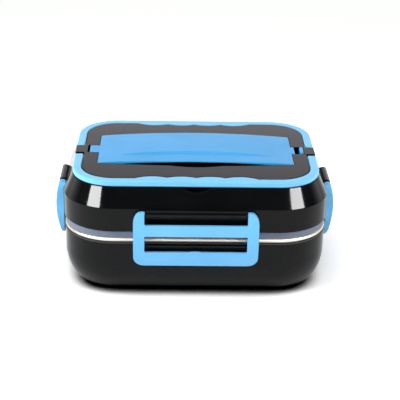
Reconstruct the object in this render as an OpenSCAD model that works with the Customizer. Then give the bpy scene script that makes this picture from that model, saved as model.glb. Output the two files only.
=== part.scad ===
// Electric lunch box: heated base, lift-out steel tray, clip-down lid with folding handles
// and a cutlery compartment. Millimetres, Z up, origin at the centre of the ground face.

/* [Body] */
// Length of the lid across its band
lid_length = 217.8; // [212:0.2:250]
// Depth of the lid across its band
lid_depth = 159.6; // [152:0.2:190]
// Corner radius of the lid band seen from above
lid_corner = 42; // [38:1:48]
// Height of the lower edge of the lid band
band_bottom = 59.3; // [56:0.1:75]
// Height of the upright lid band
band_height = 20; // [16:0.2:30]
// Height of the leaning skirt between the band and the handle seat
skirt_height = 16; // [12:0.5:24]
// How far the skirt leans in over its height
skirt_lean = 7.3; // [6:0.1:11]
// Wall thickness of the plastic shells
shell_wall = 2.2; // [1.8:0.1:2.6]
// Width of the round turn between the base wall and its floor
base_turn = 17; // [15:0.5:18]
// Height of that turn
turn_height = 28; // [24:0.5:30]
// How far the base wall stands in from the lid band
base_inset = 0.7; // [0.5:0.1:1.2]
// Height of the strip of seal that shows under the band
seal_height = 6.1; // [3:0.1:7]

/* [Handles] */
// Thickness of the folding handles
handle_thick = 5; // [4:0.1:6]
// Width of a handle seen from above
handle_width = 7; // [6:0.1:8]
// Edge rounding of the handles
handle_round = 1.2; // [0.6:0.1:1.6]
// Number of finger waves on each grip
wave_count = 4; // [2:1:5]
// Pitch of the finger waves
wave_pitch = 23.4; // [18:0.2:24]
// Height of each finger wave above the dips beside it
wave_rise = 2.8; // [1:0.1:3]
// Height of the dips between the waves above the straight inner edge
wave_base = 1.8; // [1:0.1:2.4]
// Distance of each handle pivot from the middle of the deck
pivot_y = 13; // [12:0.5:16]
// Half width of the deck tab between the handle ends
tab_half = 8; // [6:0.5:9]
// Radius of the handle pivot pins
pivot_pin_r = 1.2; // [0.9:0.05:1.4]
// Gap between a handle and the deck beside it
deck_gap = 0.6; // [0.4:0.1:0.9]

/* [Latches] */
// Width of the long latches at the front and rear
long_latch = 100.8; // [80:0.2:110]
// Width of the short latches at the ends
short_latch = 49; // [44:0.5:56]
// Width of the side rails of a long latch
long_rail = 8.9; // [8:0.1:12]
// Width of the side rails of a short latch
short_rail = 9; // [7:0.1:10]
// Height of the hinge axis above the lower edge of the band
hinge_rise = 17.3; // [14:0.1:18]
// Distance of the hinge axis out from the band
hinge_out = 2.8; // [2.8:0.1:3.4]
// Radius of the round ends of the latch rails
knuckle_r = 2.4; // [2.2:0.1:2.5]
// Radius of the hinge barrels on the lid
barrel_r = 3.2; // [3:0.1:3.5]
// Radius of the latch hinge pins
latch_pin_r = 1.2; // [0.9:0.05:1.4]
// Length of a latch from its hinge axis to its lower edge
latch_drop = 45.9; // [43:0.1:47]
// How far the belly of a latch stands out from the band
belly_out = 8.2; // [7.8:0.1:10]
// Radius of the bowed outer face of a latch
belly_radius = 74; // [64:1:80]
// Thickness of the bars of a latch
bar_thick = 2.6; // [2.2:0.1:3.4]
// Gap between the back of a latch and the band
latch_back = 1.8; // [1.6:0.1:2]
// Height of the lower bar of a latch
lower_bar = 13.3; // [12:0.1:15]
// Height of the slot between the bars of a latch
latch_slot = 14.9; // [11:0.1:15]
// Height of the upper bar of a latch
upper_bar = 9; // [8:0.1:10]
// Corner radius at the lower end of a latch
latch_corner = 8.5; // [5:0.5:9]

/* [Cutlery cover] */
// Length of the cover without its tongues
cover_length = 163; // [150:1:164]
// Depth of the cover
cover_depth = 64.4; // [56:0.2:70]
// Thickness of the cover
cover_thick = 2.2; // [1.8:0.1:2.8]
// Rise of the arch of the cover at its middle
cover_arch = 3.4; // [2:0.1:5]
// Width of the cover tongues
tongue_width = 16; // [12:0.5:18]
// Gap round the cover
cover_gap = 0.3; // [0.2:0.05:0.5]
// Radius of the cover's moulded hinge pins
cover_pin_r = 1; // [0.8:0.05:1.1]
// Depth of the cutlery pocket below the cover
pocket_depth = 13.6; // [12:0.1:15]
// Width of the crescent finger recess in front of the cover
crescent_width = 66; // [40:1:80]
// Depth of the crescent seen from above
crescent_reach = 8.5; // [4:0.5:9]

/* [Tray] */
// Thickness of the steel of the tray
tray_steel = 0.8; // [0.6:0.1:1.2]
// Radius of the rolled rim of the tray
bead_r = 1.65; // [1.2:0.05:1.8]
// Corner rounding between the tray wall and its bottom
tray_turn = 8; // [6:0.5:9]
// Height of the underside of the tray above the ground
tray_floor_z = 22; // [21.5:0.1:24]

/* [Heater] */
// Length of the heater plate
heater_length = 160; // [150:1:164]
// Depth of the heater plate
heater_depth = 100; // [90:1:104]
// Thickness of the heater plate
heater_thick = 1.9; // [1.5:0.1:2]
// Length of a heating element
element_length = 46; // [40:1:50]
// Depth of a heating element
element_depth = 28; // [24:1:32]
// Height of a heating element
element_height = 4.6; // [4:0.1:5]
// Radius of the thermostat can
thermostat_r = 8; // [6:0.5:8.5]
// Radius of the thermal fuse
fuse_r = 2; // [1.6:0.1:2.2]
// Radius of the wires
wire_r = 0.9; // [0.7:0.05:1]

/* [Inlet] */
// Width of the mouth of the power inlet
mouth_width = 15.6; // [15:0.1:16.4]
// Height of the mouth of the power inlet
mouth_height = 8.4; // [8:0.1:8.8]
// Depth of the mouth
mouth_depth = 11; // [10:0.1:11.5]
// Radius of the inlet contact pins
contact_r = 1.2; // [1:0.05:1.3]
// Distance between the inlet contact pins
contact_pitch = 8.6; // [8:0.1:9]
// Radius of the indicator lens
lens_r = 2.2; // [1.6:0.1:2.6]

/* [Bottom] */
// Height of the rubber feet below the base
foot_height = 3; // [2:0.1:4]
// Radius of the rubber feet
foot_r = 7; // [5:0.5:8]
// Thickness of the base plate
plate_thick = 2; // [1.6:0.1:2.2]
// Radius of the screw shanks
screw_r = 1.4; // [1.2:0.05:1.6]
// Length of the base screws
screw_length = 9; // [8:0.5:10]

/* [Hidden] */
$fn = 64;

// Clearances and joins
rest_gap = 0.1;    // between pieces that rest on one another
side_gap = 0.2;    // beside a piece that sits in another
pin_gap = 0.06;    // round a pin in its bore
join = 0.5;        // depth that a feature is sunk into the piece it belongs to
through = 1;       // how far a cut runs past the face it opens

// Heights, from the ground up
floor_z = foot_height;
band_top = band_bottom + band_height;
seat_z = band_top + skirt_height;
handle_z = seat_z + handle_thick / 2;
deck_z = seat_z + handle_thick - 0.2;
hinge_z = band_bottom + hinge_rise;
rim_top = band_bottom - seal_height;
base_top = rim_top - 2 * bead_r - rest_gap;
flange_thick = 1.6;
shell_top = base_top - flange_thick - rest_gap;
heater_top = tray_floor_z - rest_gap;
heater_bottom = heater_top - heater_thick;
liner_wall = 1.8;
liner_floor_top = heater_bottom - rest_gap;
liner_floor_z = liner_floor_top - liner_wall;

// Insets, measured inwards from the face of the lid band
ring_inset = skirt_lean + 0.3;
deck_inset = ring_inset + handle_width + deck_gap;
turn_inset = base_inset + base_turn;
bead_inset = 0.6;
tray_inset = 8.2;
liner_inset = 5.2;
liner_turn = 10;
plate_inset = turn_inset + 2;
plate_lap = 4;
deck_half_x = lid_length / 2 - deck_inset;
deck_plate = 2.4;

// ---------------------------------------------------------------- shared shapes

// Rounded rectangle that stands `inset` inside the lid band
module plan(inset) {
    w = lid_length - 2 * inset;
    d = lid_depth - 2 * inset;
    r = lid_corner - inset;
    square([w - 2 * r, d], center = true);
    square([w, d - 2 * r], center = true);
    for (sx = [-1, 1], sy = [-1, 1]) translate([sx * (w / 2 - r), sy * (d / 2 - r)]) circle(r);
}

// Flat plate inside the plan
module slab(inset, z0, z1) {
    translate([0, 0, z0]) linear_extrude(z1 - z0) plan(inset);
}

straight_x = lid_length - 2 * lid_corner;
straight_y = lid_depth - 2 * lid_corner;

// Sweeps a wall section round the plan. The section's x is lid_corner - inset, its y is height.
module sweep() {
    for (turn = [0, 180]) rotate(turn) {
        translate([straight_x / 2, straight_y / 2, 0]) rotate_extrude(angle = 90) children();
        translate([-straight_x / 2, straight_y / 2, 0]) rotate(90) rotate_extrude(angle = 90) children();
        translate([straight_x / 2, straight_y / 2, 0]) rotate([90, 0, 0]) linear_extrude(straight_y) children();
        rotate(90) translate([straight_y / 2, straight_x / 2, 0]) rotate([90, 0, 0])
            linear_extrude(straight_x) children();
    }
}

// Section rectangle from inset i0 (outer) to i1 (inner) and from height z0 to z1
module strip(i0, i1, z0, z1) {
    translate([lid_corner - i1, z0]) square([i1 - i0, z1 - z0]);
}

// Section of a wall that turns into a floor: quarter ring of outer radius r and the given thickness
module turned(i0, z0, r, thick) {
    difference() {
        intersection() {
            translate([lid_corner - i0 - r, z0 + r]) circle(r);
            translate([lid_corner - i0 - r, z0]) square(r);
        }
        translate([lid_corner - i0 - r, z0 + r]) circle(r - thick);
    }
}

// Box between two corners
module span(low, high) {
    translate(low) cube(high - low);
}

// Rectangle with round corners, centred
module round_rect(size, r) {
    square([size[0] - 2 * r, size[1]], center = true);
    square([size[0], size[1] - 2 * r], center = true);
    for (sx = [-1, 1], sy = [-1, 1])
        translate([sx * (size[0] / 2 - r), sy * (size[1] / 2 - r)]) circle(r);
}

// Rod along x, centred on x = 0
module rod_x(r, length) {
    rotate([0, 90, 0]) cylinder(r = r, h = length, center = true);
}

// Rod along y, centred on y = 0
module rod_y(r, length) {
    rotate([90, 0, 0]) cylinder(r = r, h = length, center = true);
}

// Extrudes a (y, z) section along x, centred on x = 0
module along_x(length) {
    translate([-length / 2, 0, 0]) rotate([90, 0, 90]) linear_extrude(length) children();
}

// Extrudes an (x, z) section along y, centred on y = 0
module along_y(length) {
    translate([0, length / 2, 0]) rotate([90, 0, 0]) linear_extrude(length) children();
}

// Puts what is modelled at the front, on the face of the band, on one side of the box.
// Side 0 is the front, 1 the right, 2 the rear and 3 the left. Outwards is -y there.
module on_side(side) {
    reach = side % 2 == 0 ? lid_depth / 2 : lid_length / 2;
    rotate(side * 90) translate([0, -reach, 0]) children();
}

function latch_width(side) = side % 2 == 0 ? long_latch : short_latch;
function rail_width(side) = side % 2 == 0 ? long_rail : short_rail;
function slot_half(side) = latch_width(side) / 2 - rail_width(side);

// ---------------------------------------------------------------- base

floor_thick = 3.6;
screw_inset = plate_inset + plate_lap;
boss_r = 3.6;
screw_x = lid_length / 2 - screw_inset;
screw_y = lid_depth / 2 - screw_inset;
screw_spots = [
    [-screw_x / 2, -screw_y], [screw_x / 2, -screw_y], [-screw_x / 2, screw_y], [screw_x / 2, screw_y],
    [-screw_x, 0], [screw_x, 0]
];
latch_low = hinge_z - latch_drop;
slot_low = latch_low + lower_bar;
nub_drop = 3.2;
nub_height = 2.2;
nub_gap = 0.4;
rib_low = slot_low - nub_drop + nub_gap;
rib_out = latch_back - 0.3;

inlet_wall = 0.8;
inlet_z = liner_floor_z - rest_gap - inlet_wall - mouth_height / 2;
inlet_face = lid_depth / 2 - base_inset - 2.5;
inlet_width = mouth_width + 2 * inlet_wall;
inlet_height = mouth_height + 2 * inlet_wall;
inlet_back = 1.8;
pad_margin = 2.6;
lens_x = inlet_width / 2 + 2 * pad_margin + lens_r;
pad_low = -inlet_width / 2 - pad_margin;
pad_high = lens_x + lens_r + pad_margin;
pad_depth = 4.4;

turn_steps = 16;    // flat steps that follow the round turn

// Point of the turn at an angle below its widest level, `thick` inside its outer face
function turn_point(angle, thick) = [
    lid_corner - turn_inset + (base_turn - thick) * cos(angle),
    floor_z + turn_height - (turn_height - thick) * sin(angle)
];

// Section of the turn: a quarter of an ellipse
module base_turn_section() {
    step = 90 / turn_steps;
    polygon(concat(
        [for (i = [0 : turn_steps]) turn_point(i * step, 0)],
        [for (i = [turn_steps : -1 : 0]) turn_point(i * step, shell_wall)]
    ));
}

module base_shell() {
    color("#1b1b1d") difference() {
        union() {
            sweep() {
                strip(base_inset, base_inset + shell_wall, floor_z + turn_height, shell_top);
                base_turn_section();
                strip(turn_inset, plate_inset + plate_lap, floor_z, floor_z + floor_thick);
            }
            for (p = screw_spots) translate([p[0], p[1], floor_z + plate_thick + rest_gap])
                cylinder(r = boss_r, h = screw_length - plate_thick);
            for (side = [0 : 3]) on_side(side) span(
                [-slot_half(side) + 1, -rib_out, rib_low],
                [slot_half(side) - 1, base_inset + 2 * join, shell_top]);
            inlet_pad();
        }
        slab(plate_inset - side_gap, floor_z - through, floor_z + plate_thick + rest_gap);
        for (p = screw_spots) translate([p[0], p[1], floor_z])
            cylinder(r = screw_r + pin_gap, h = screw_length - join);
        inlet_cut();
    }
}

// Flat pad at the rear that carries the inlet and the indicator
module inlet_pad() {
    span([pad_low, inlet_face - pad_depth, inlet_z - inlet_height / 2 - inlet_wall],
         [pad_high, inlet_face, inlet_z + inlet_height / 2 + inlet_wall + 1]);
    span([pad_low, inlet_face - mouth_depth - inlet_back, inlet_z - inlet_height / 2 - inlet_wall],
         [pad_high, inlet_face, inlet_z - inlet_wall]);
}

module inlet_cut() {
    span([pad_low, inlet_face, inlet_z - inlet_height / 2 - inlet_wall],
         [pad_high, inlet_face + 3 * through, inlet_z + inlet_height / 2 + inlet_wall + 1]);
    span([-inlet_width / 2 - side_gap, inlet_face - mouth_depth - 3 * inlet_back,
          inlet_z - inlet_height / 2 - side_gap],
         [inlet_width / 2 + side_gap, inlet_face + through, inlet_z + inlet_height / 2 + side_gap]);
    translate([lens_x, inlet_face - mouth_depth / 2, inlet_z])
        rod_y(lens_r + side_gap, mouth_depth + 4 * through + 2 * inlet_back);
}

module inner_liner() {
    opening = 8;
    color("#26262a") difference() {
        union() {
            sweep() {
                strip(base_inset, liner_inset + liner_wall, shell_top + rest_gap, base_top);
                strip(liner_inset, liner_inset + liner_wall, liner_floor_z + liner_turn, base_top);
                turned(liner_inset, liner_floor_z, liner_turn, liner_wall);
            }
            slab(liner_inset + liner_turn, liner_floor_z, liner_floor_top);
        }
        translate([0, 0, liner_floor_z - through]) linear_extrude(liner_wall + 2 * through)
            round_rect([heater_length - opening, heater_depth - opening], 6);
    }
}

module heater_plate() {
    color("#b9bcc0") translate([0, 0, heater_bottom]) linear_extrude(heater_thick)
        round_rect([heater_length, heater_depth], 10);
}

// Heating elements, clamped under the heater plate
element_x = element_length / 2 + 14;
element_top = heater_bottom - rest_gap;
element_low = element_top - element_height;
clamp_thick = 0.8;
clamp_half = 2 * element_x - 8;
clamp_width = 12;

module element(side) {
    translate([side * element_x, 0, element_low + element_height / 2])
        cube([element_length, element_depth, element_height], center = true);
}

module element_left() { color("#c8c4ba") element(-1); }
module element_right() { color("#c8c4ba") element(1); }

module element_clamp() {
    low = element_low - rest_gap - clamp_thick;
    color("#8f9296") {
        span([-clamp_half, -clamp_width / 2, low], [clamp_half, clamp_width / 2, low + clamp_thick]);
        for (s = [0, 180]) rotate(s) {
            span([clamp_half - clamp_thick, -clamp_width / 2, low], [clamp_half, clamp_width / 2, element_top]);
            span([clamp_half - clamp_thick, -clamp_width / 2, element_top - clamp_thick],
                 [clamp_half + 5, clamp_width / 2, element_top]);
        }
    }
}

thermostat_y = 26;
thermostat_height = 6;
blade_drop = 2.2;
blade_x = thermostat_r * 0.55;

module thermostat() {
    color("#a8abb0") translate([0, thermostat_y, 0]) {
        translate([0, 0, element_top - thermostat_height]) cylinder(r = thermostat_r, h = thermostat_height);
        for (s = [-1, 1]) translate([s * blade_x, 0, element_top - thermostat_height - blade_drop / 2 + join / 2])
            cube([0.8, 5, blade_drop + join], center = true);
    }
}

fuse_y = -26;
fuse_z = element_top - fuse_r;
fuse_length = 12;
fuse_lead = 4.5;
lead_r = 0.5;

module thermal_fuse() {
    color("#d9d2c0") translate([0, fuse_y, fuse_z]) {
        rod_x(fuse_r, fuse_length);
        rod_x(lead_r, fuse_length + 2 * fuse_lead);
    }
}

// A wire along straight runs with round bends
module wire(points) {
    for (i = [0 : len(points) - 2]) {
        run = points[i + 1] - points[i];
        length = norm(run);
        translate(points[i]) rotate([0, acos(run[2] / length), atan2(run[1], run[0])])
            cylinder(r = wire_r, h = length);
        if (i > 0) translate(points[i]) sphere(r = wire_bend_r);
    }
}

wire_bend_r = 1.08 * wire_r;
wire_z = floor_z + plate_thick + 2.5;
blade_end = element_top - thermostat_height - blade_drop;
fuse_end = fuse_length / 2 + fuse_lead;
contact_x = contact_pitch / 2;
tail_y = inlet_face - mouth_depth - inlet_back - 4;
tail_drop = 14;
live_out = 11;
neutral_out = 21;
element_end = element_x - element_length / 2;
lead_z = element_low + element_height / 2;
lead_y = 10;
hook = 3.5;

module live_wire() {
    color("#8a3b2a") wire([
        [contact_x, tail_y, inlet_z], [contact_x, tail_y - hook, inlet_z], [contact_x + live_out, tail_y - tail_drop, wire_z],
        [contact_x + live_out, fuse_y, wire_z], [fuse_end + hook, fuse_y, fuse_z], [fuse_end, fuse_y, fuse_z]
    ]);
}

module link_wire() {
    color("#8a3b2a") wire([
        [-fuse_end, fuse_y, fuse_z], [-fuse_end - hook, fuse_y, fuse_z], [-fuse_end - hook, fuse_y + 6, wire_z],
        [-fuse_end - hook, thermostat_y, wire_z], [-blade_x, thermostat_y, wire_z], [-blade_x, thermostat_y, blade_end]
    ]);
}

module element_leads() {
    fork_point = [blade_x + 3, lead_y, wire_z];
    color("#8a3b2a") {
        wire([
            [blade_x, thermostat_y, blade_end], [blade_x, thermostat_y, wire_z], fork_point,
            [element_end - hook, lead_y, lead_z], [element_end, lead_y, lead_z]
        ]);
        wire([fork_point, [-element_end + hook, lead_y, lead_z], [-element_end, lead_y, lead_z]]);
    }
}

// The neutral leads cross above the others
neutral_z = wire_z + 2.2;

module neutral_leads() {
    run_x = -contact_x - neutral_out;
    fork_point = [0, -lead_y, neutral_z];
    color("#2f4f86") {
        wire([
            [-contact_x, tail_y, inlet_z], [-contact_x, tail_y - hook, inlet_z], [run_x, tail_y - tail_drop, neutral_z],
            [run_x, -lead_y, neutral_z], fork_point, [element_end - hook, -lead_y, lead_z],
            [element_end, -lead_y, lead_z]
        ]);
        wire([fork_point, [-element_end + hook, -lead_y, lead_z], [-element_end, -lead_y, lead_z]]);
    }
}

contact_length = 9.5;
collar_r = contact_r + 0.4;
tail_r = contact_r - 0.2;

module power_inlet() {
    color("#141416") translate([0, inlet_face, inlet_z]) difference() {
        translate([0, -(mouth_depth + inlet_back) / 2, 0]) along_y(mouth_depth + inlet_back)
            round_rect([inlet_width, inlet_height], 3);
        translate([0, -mouth_depth / 2 + through / 2, 0]) along_y(mouth_depth + through) {
            round = mouth_height / 2 - 0.1;
            for (s = [-1, 1]) translate([s * (mouth_width / 2 - round), 0]) circle(round);
            square([mouth_width - 2 * round, 2 * round - 0.8], center = true);
        }
        for (s = [-1, 1]) translate([s * contact_x, -mouth_depth, 0]) rod_y(collar_r + pin_gap, 3 * inlet_back);
    }
}

// Each contact is a free pin, a collar in the back wall of the inlet and a tail for its wire
module inlet_contacts() {
    seat = inlet_face - mouth_depth;
    tail = seat - inlet_back - tail_y;
    color("#c9c9c4") for (s = [-1, 1]) translate([s * contact_x, seat, inlet_z]) {
        translate([0, (contact_length - join) / 2, 0]) rod_y(contact_r, contact_length + join);
        translate([0, -inlet_back / 2, 0]) rod_y(collar_r, inlet_back);
        translate([0, -inlet_back - (tail - join) / 2, 0]) rod_y(tail_r, tail + join);
    }
}

lens_length = 6;
lamp_length = 5;

module indicator_lens() {
    color("#c8382e") translate([lens_x, inlet_face - lens_length / 2 + 0.4, inlet_z]) rod_y(lens_r, lens_length);
}

module indicator_lamp() {
    color("#e8c9b0") translate([lens_x, inlet_face + 0.4 - lens_length - rest_gap - lamp_length / 2, inlet_z])
        rod_y(lens_r - 0.4, lamp_length);
}

head_r = 2.8;
head_height = 1.5;
foot_margin = 20;
foot_x = lid_length / 2 - plate_inset - foot_margin;
foot_y = lid_depth / 2 - plate_inset - foot_margin;
stem_r = 2.5;

module base_plate() {
    color("#202023") difference() {
        slab(plate_inset, floor_z, floor_z + plate_thick);
        for (p = screw_spots) translate([p[0], p[1], floor_z]) {
            translate([0, 0, -through]) cylinder(r = screw_r + pin_gap, h = plate_thick + 2 * through);
            translate([0, 0, -through]) cylinder(r = head_r + pin_gap, h = head_height + through);
        }
        for (sx = [-1, 1], sy = [-1, 1]) translate([sx * foot_x, sy * foot_y, floor_z - through])
            cylinder(r = stem_r + pin_gap, h = plate_thick + 2 * through);
    }
}

module base_screws() {
    color("#b4b6b8") for (p = screw_spots) translate([p[0], p[1], floor_z]) {
        cylinder(r = head_r, h = head_height - rest_gap);
        cylinder(r = screw_r, h = screw_length - 1);
    }
}

module foot(sx, sy) {
    color("#303033") translate([sx * foot_x, sy * foot_y, 0]) {
        cylinder(r = foot_r, h = floor_z);
        cylinder(r = stem_r, h = floor_z + plate_thick);
    }
}

module foot_front_left() { foot(-1, -1); }
module foot_front_right() { foot(1, -1); }
module foot_rear_left() { foot(-1, 1); }
module foot_rear_right() { foot(1, 1); }

// ---------------------------------------------------------------- tray

module food_tray() {
    color("#d9d6cf") {
        sweep() {
            translate([lid_corner - bead_inset - bead_r, rim_top - bead_r]) circle(bead_r);
            strip(bead_inset + bead_r, tray_inset + tray_steel, rim_top - tray_steel, rim_top);
            strip(tray_inset, tray_inset + tray_steel, tray_floor_z + tray_turn, rim_top);
            turned(tray_inset, tray_floor_z, tray_turn, tray_steel);
        }
        slab(tray_inset + tray_turn, tray_floor_z, tray_floor_z + tray_steel);
    }
}

// ---------------------------------------------------------------- lid

ledge_z = deck_z - cover_thick - rest_gap;
pocket_z = ledge_z - pocket_depth;
ledge_width = 3;
pocket_x = cover_length / 2 - ledge_width;
pocket_y = cover_depth / 2 - ledge_width;
tongue_slot = tongue_width + 2 * cover_gap;
slot_depth = 5.5;

// The hinge and the clip of the cover stand at set distances from its ends
tongue_reach = 7.9;
cover_pin_reach = 5;
cover_pin_x = cover_length / 2 + cover_pin_reach;
cover_pin_z = deck_z - cover_thick / 2;
cover_pin_out = 1.6;
left_end = cover_length / 2 + tongue_reach + 2;
clip_depth = 12;
clip_reach = 10.9;
clip_slot_x = cover_length / 2 + clip_reach;
clip_gap = 0.4;
clip_thick = 3.1;
clip_x = clip_slot_x - clip_gap - clip_thick / 2;
clip_root_r = 1.6;
clip_root_z = deck_z - 8.9;
clip_width = tongue_width - 3;
arm_thick = 1.8;
arm_x = clip_x - clip_root_r - 6.25;
catch_low = deck_z - 4.2;
catch_high = deck_z - 2.9;
catch_out = 0.9;
catch_width = tongue_width - 6;
block_wall = 1.3;
block_side = 2;
pin_sink = 5;
pin_start = max(deck_half_x - pin_sink, cover_length / 2 + cover_gap + block_wall);
deck_rim = pin_sink + join;
vent_x = 66;
vent_r = 3.5;
notch_width = 23;
notch_depth = 4.1;
notch_reach = 4;
liner_low = band_bottom + rest_gap;
wave_r = (pow(wave_pitch / 2, 2) + pow(wave_rise, 2)) / (2 * wave_rise);
wave_zone = (wave_count + 1) * wave_pitch;
grip_inner_y = lid_depth / 2 - ring_inset - handle_width;
arm_mid_x = lid_length / 2 - ring_inset - handle_width / 2;
arm_inner_x = arm_mid_x - handle_width / 2;
pin_skin = 1.6;

// Circles of the finger waves along the grip at the front (s = -1) or the rear (s = 1)
module waves(s, grow) {
    for (i = [0 : wave_count - 1])
        translate([(i - (wave_count - 1) / 2) * wave_pitch, s * (grip_inner_y - wave_base - wave_rise + wave_r)])
            circle(wave_r + grow, $fn = 256);
}

module deck_outline() {
    difference() {
        plan(deck_inset);
        waves(-1, deck_gap);
        waves(1, deck_gap);
    }
    square([lid_length - 2 * ring_inset, 2 * tab_half], center = true);
}

module lid_section() {
    under = seat_z - shell_wall;
    polygon([
        [lid_corner, band_bottom], [lid_corner, band_top], [lid_corner - skirt_lean, seat_z],
        [lid_corner - deck_inset - 3, seat_z], [lid_corner - deck_inset - 3, under],
        [lid_corner - skirt_lean - shell_wall, under], [lid_corner - shell_wall, band_top],
        [lid_corner - shell_wall, band_bottom]
    ]);
}

module lid_shell() {
    color("#1b1b1d") difference() {
        union() {
            sweep() lid_section();
            difference() {
                translate([0, 0, seat_z - shell_wall]) linear_extrude(deck_z - seat_z + shell_wall) deck_outline();
                translate([0, 0, seat_z - 2 * shell_wall])
                    linear_extrude(deck_z - deck_plate - seat_z + 2 * shell_wall) difference() {
                        plan(deck_inset + deck_rim);
                        waves(-1, deck_gap + shell_wall);
                        waves(1, deck_gap + shell_wall);
                    }
            }
            pocket_walls();
            for (side = [0 : 3]) on_side(side) hinge_barrel(slot_half(side) - 0.4);
            for (turn = [0, 180]) rotate(turn) notch_backing();
        }
        pocket_cut();
        slot_cuts();
        for (side = [0 : 3]) on_side(side) translate([0, -hinge_out, hinge_z])
            rod_x(latch_pin_r + pin_gap, latch_width(side));
        for (turn = [0, 180]) rotate(turn) notch_cut();
        for (sy = [-1, 1]) translate([0, sy * pivot_y, handle_z])
            for (s = [-1, 1]) translate([s * (pin_start + deck_half_x + through) / 2, 0, 0])
                rod_x(pivot_pin_r + pin_gap, deck_half_x + through - pin_start + side_gap);
    }
}

module pocket_walls() {
    wall = shell_wall;
    translate([0, 0, pocket_z - wall]) linear_extrude(deck_z - pocket_z + wall - join)
        round_rect([2 * pocket_x + 2 * wall, 2 * pocket_y + 2 * wall], 5);
    translate([0, 0, ledge_z - wall]) linear_extrude(deck_z - ledge_z + wall - join)
        round_rect([cover_length + 2 * wall + 1, cover_depth + 2 * wall + 1], 5);
    span([-left_end - block_wall, -tongue_slot / 2 - block_side, deck_z - slot_depth - wall],
         [-pocket_x, tongue_slot / 2 + block_side, deck_z - join]);
    span([pocket_x, -tongue_slot / 2 - block_side, deck_z - clip_depth - wall],
         [clip_slot_x + block_wall, tongue_slot / 2 + block_side, deck_z - join]);
    span([-crescent_width / 2 - 3, -cover_depth / 2 - crescent_reach - 2.5, deck_z - 3.2 - wall],
         [crescent_width / 2 + 3, -cover_depth / 2, deck_z - join]);
}

module pocket_cut() {
    crescent_r = (pow(crescent_width / 2, 2) + pow(crescent_reach, 2)) / (2 * crescent_reach);
    translate([0, 0, pocket_z]) linear_extrude(deck_z - pocket_z + through)
        round_rect([2 * pocket_x, 2 * pocket_y], 4);
    translate([0, 0, ledge_z]) linear_extrude(deck_z - ledge_z + through)
        square([cover_length + 2 * cover_gap, cover_depth + 2 * cover_gap], center = true);
    translate([0, 0, deck_z - 3.2]) linear_extrude(3.2 + through) intersection() {
        translate([0, -cover_depth / 2 - crescent_reach + crescent_r]) circle(crescent_r, $fn = 256);
        translate([-crescent_width, -cover_depth / 2 - crescent_reach - 1]) square([2 * crescent_width, crescent_reach + 2]);
    }
    translate([vent_x, 0, pocket_z - shell_wall - through]) cylinder(r = vent_r + pin_gap, h = shell_wall + 2 * through);
}

module slot_cuts() {
    span([-left_end, -tongue_slot / 2, deck_z - slot_depth],
         [-pocket_x - ledge_width / 2, tongue_slot / 2, deck_z + through]);
    translate([-cover_pin_x, 0, cover_pin_z]) rod_y(cover_pin_r + pin_gap, tongue_slot + 2 * cover_pin_out);
    span([pocket_x + ledge_width / 2, -tongue_slot / 2, deck_z - clip_depth],
         [clip_slot_x, tongue_slot / 2, deck_z + through]);
    span([clip_slot_x - catch_out, -catch_width / 2 - 0.4, catch_low - 0.4],
         [clip_slot_x + catch_out, catch_width / 2 + 0.4, catch_high + 0.3]);
}

// Barrel and web of a latch hinge, modelled at the front
module hinge_barrel(half) {
    translate([0, -hinge_out, hinge_z]) rod_x(barrel_r, 2 * half);
    span([-half, -hinge_out, hinge_z - 2.4], [half, join, hinge_z + 1.6]);
}

// Round finger notch under each grip, with a wall behind it
module notch_cut() {
    notch_r = (pow(notch_width / 2, 2) + pow(notch_depth, 2)) / (2 * notch_depth);
    outer = lid_depth / 2 - skirt_lean;
    translate([0, -outer + notch_reach - 8, seat_z - notch_depth + notch_r]) intersection() {
        rod_y(notch_r, 16);
        translate([0, 0, -notch_r]) cube([2 * notch_width, 17, 2 * notch_depth], center = true);
    }
}

module notch_backing() {
    outer = lid_depth / 2 - skirt_lean;
    span([-notch_width / 2 - 2, -outer + 0.5, seat_z - notch_depth - 3],
         [notch_width / 2 + 2, -outer + notch_reach + 2, seat_z - join]);
}

liner_rise = 10;
groove_out = 6;
groove_in = 7.3;
groove_depth = 2.6;

module lid_liner() {
    skirt = shell_wall + side_gap;
    color("#2c2c30") difference() {
        union() {
            sweep() {
                strip(skirt, skirt + liner_wall, liner_low, liner_low + liner_rise);
                difference() {
                    strip(skirt, 10, liner_low, liner_low + groove_depth + liner_wall);
                    strip(groove_out - side_gap / 2, groove_in + side_gap / 2, liner_low - through, liner_low + groove_depth);
                }
            }
            slab(10 - join, liner_low, liner_low + shell_wall);
            translate([vent_x, 0, liner_low]) cylinder(r = vent_r + 2.5, h = pocket_z - shell_wall - side_gap - liner_low);
        }
        translate([vent_x, 0, liner_low - through]) cylinder(r = vent_r + 0.4, h = pocket_z - liner_low);
    }
}

module lid_seal() {
    top = band_bottom - rest_gap;
    color("#6c7589") sweep() {
        strip(seal_inset(), 8.6, rim_top + rest_gap, top);
        strip(groove_out, groove_in, top - join, liner_low + groove_depth - rest_gap);
    }
}

function seal_inset() = base_inset + 0.7;

module vent_plug() {
    color("#8d93a3") translate([vent_x, 0, pocket_z + rest_gap]) {
        cylinder(r = 2 * vent_r, h = 2);
        translate([0, 0, -shell_wall - 6]) cylinder(r = vent_r, h = shell_wall + 6 + join);
    }
}

// Cutlery, lying on the floor of its pocket
cutlery_y = 14;
cutlery_half = pocket_x - 4;
cutlery_thick = 1.4;

module cutlery_handle(width, end, length) {
    translate([end + length / 2, 0]) round_rect([length, width], width / 2 - 0.1);
}

cutlery_width = 8;
bowl_r = 60;
bowl_half = 24;
bowl_wall = 1;
spoon_width = 28;

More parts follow.
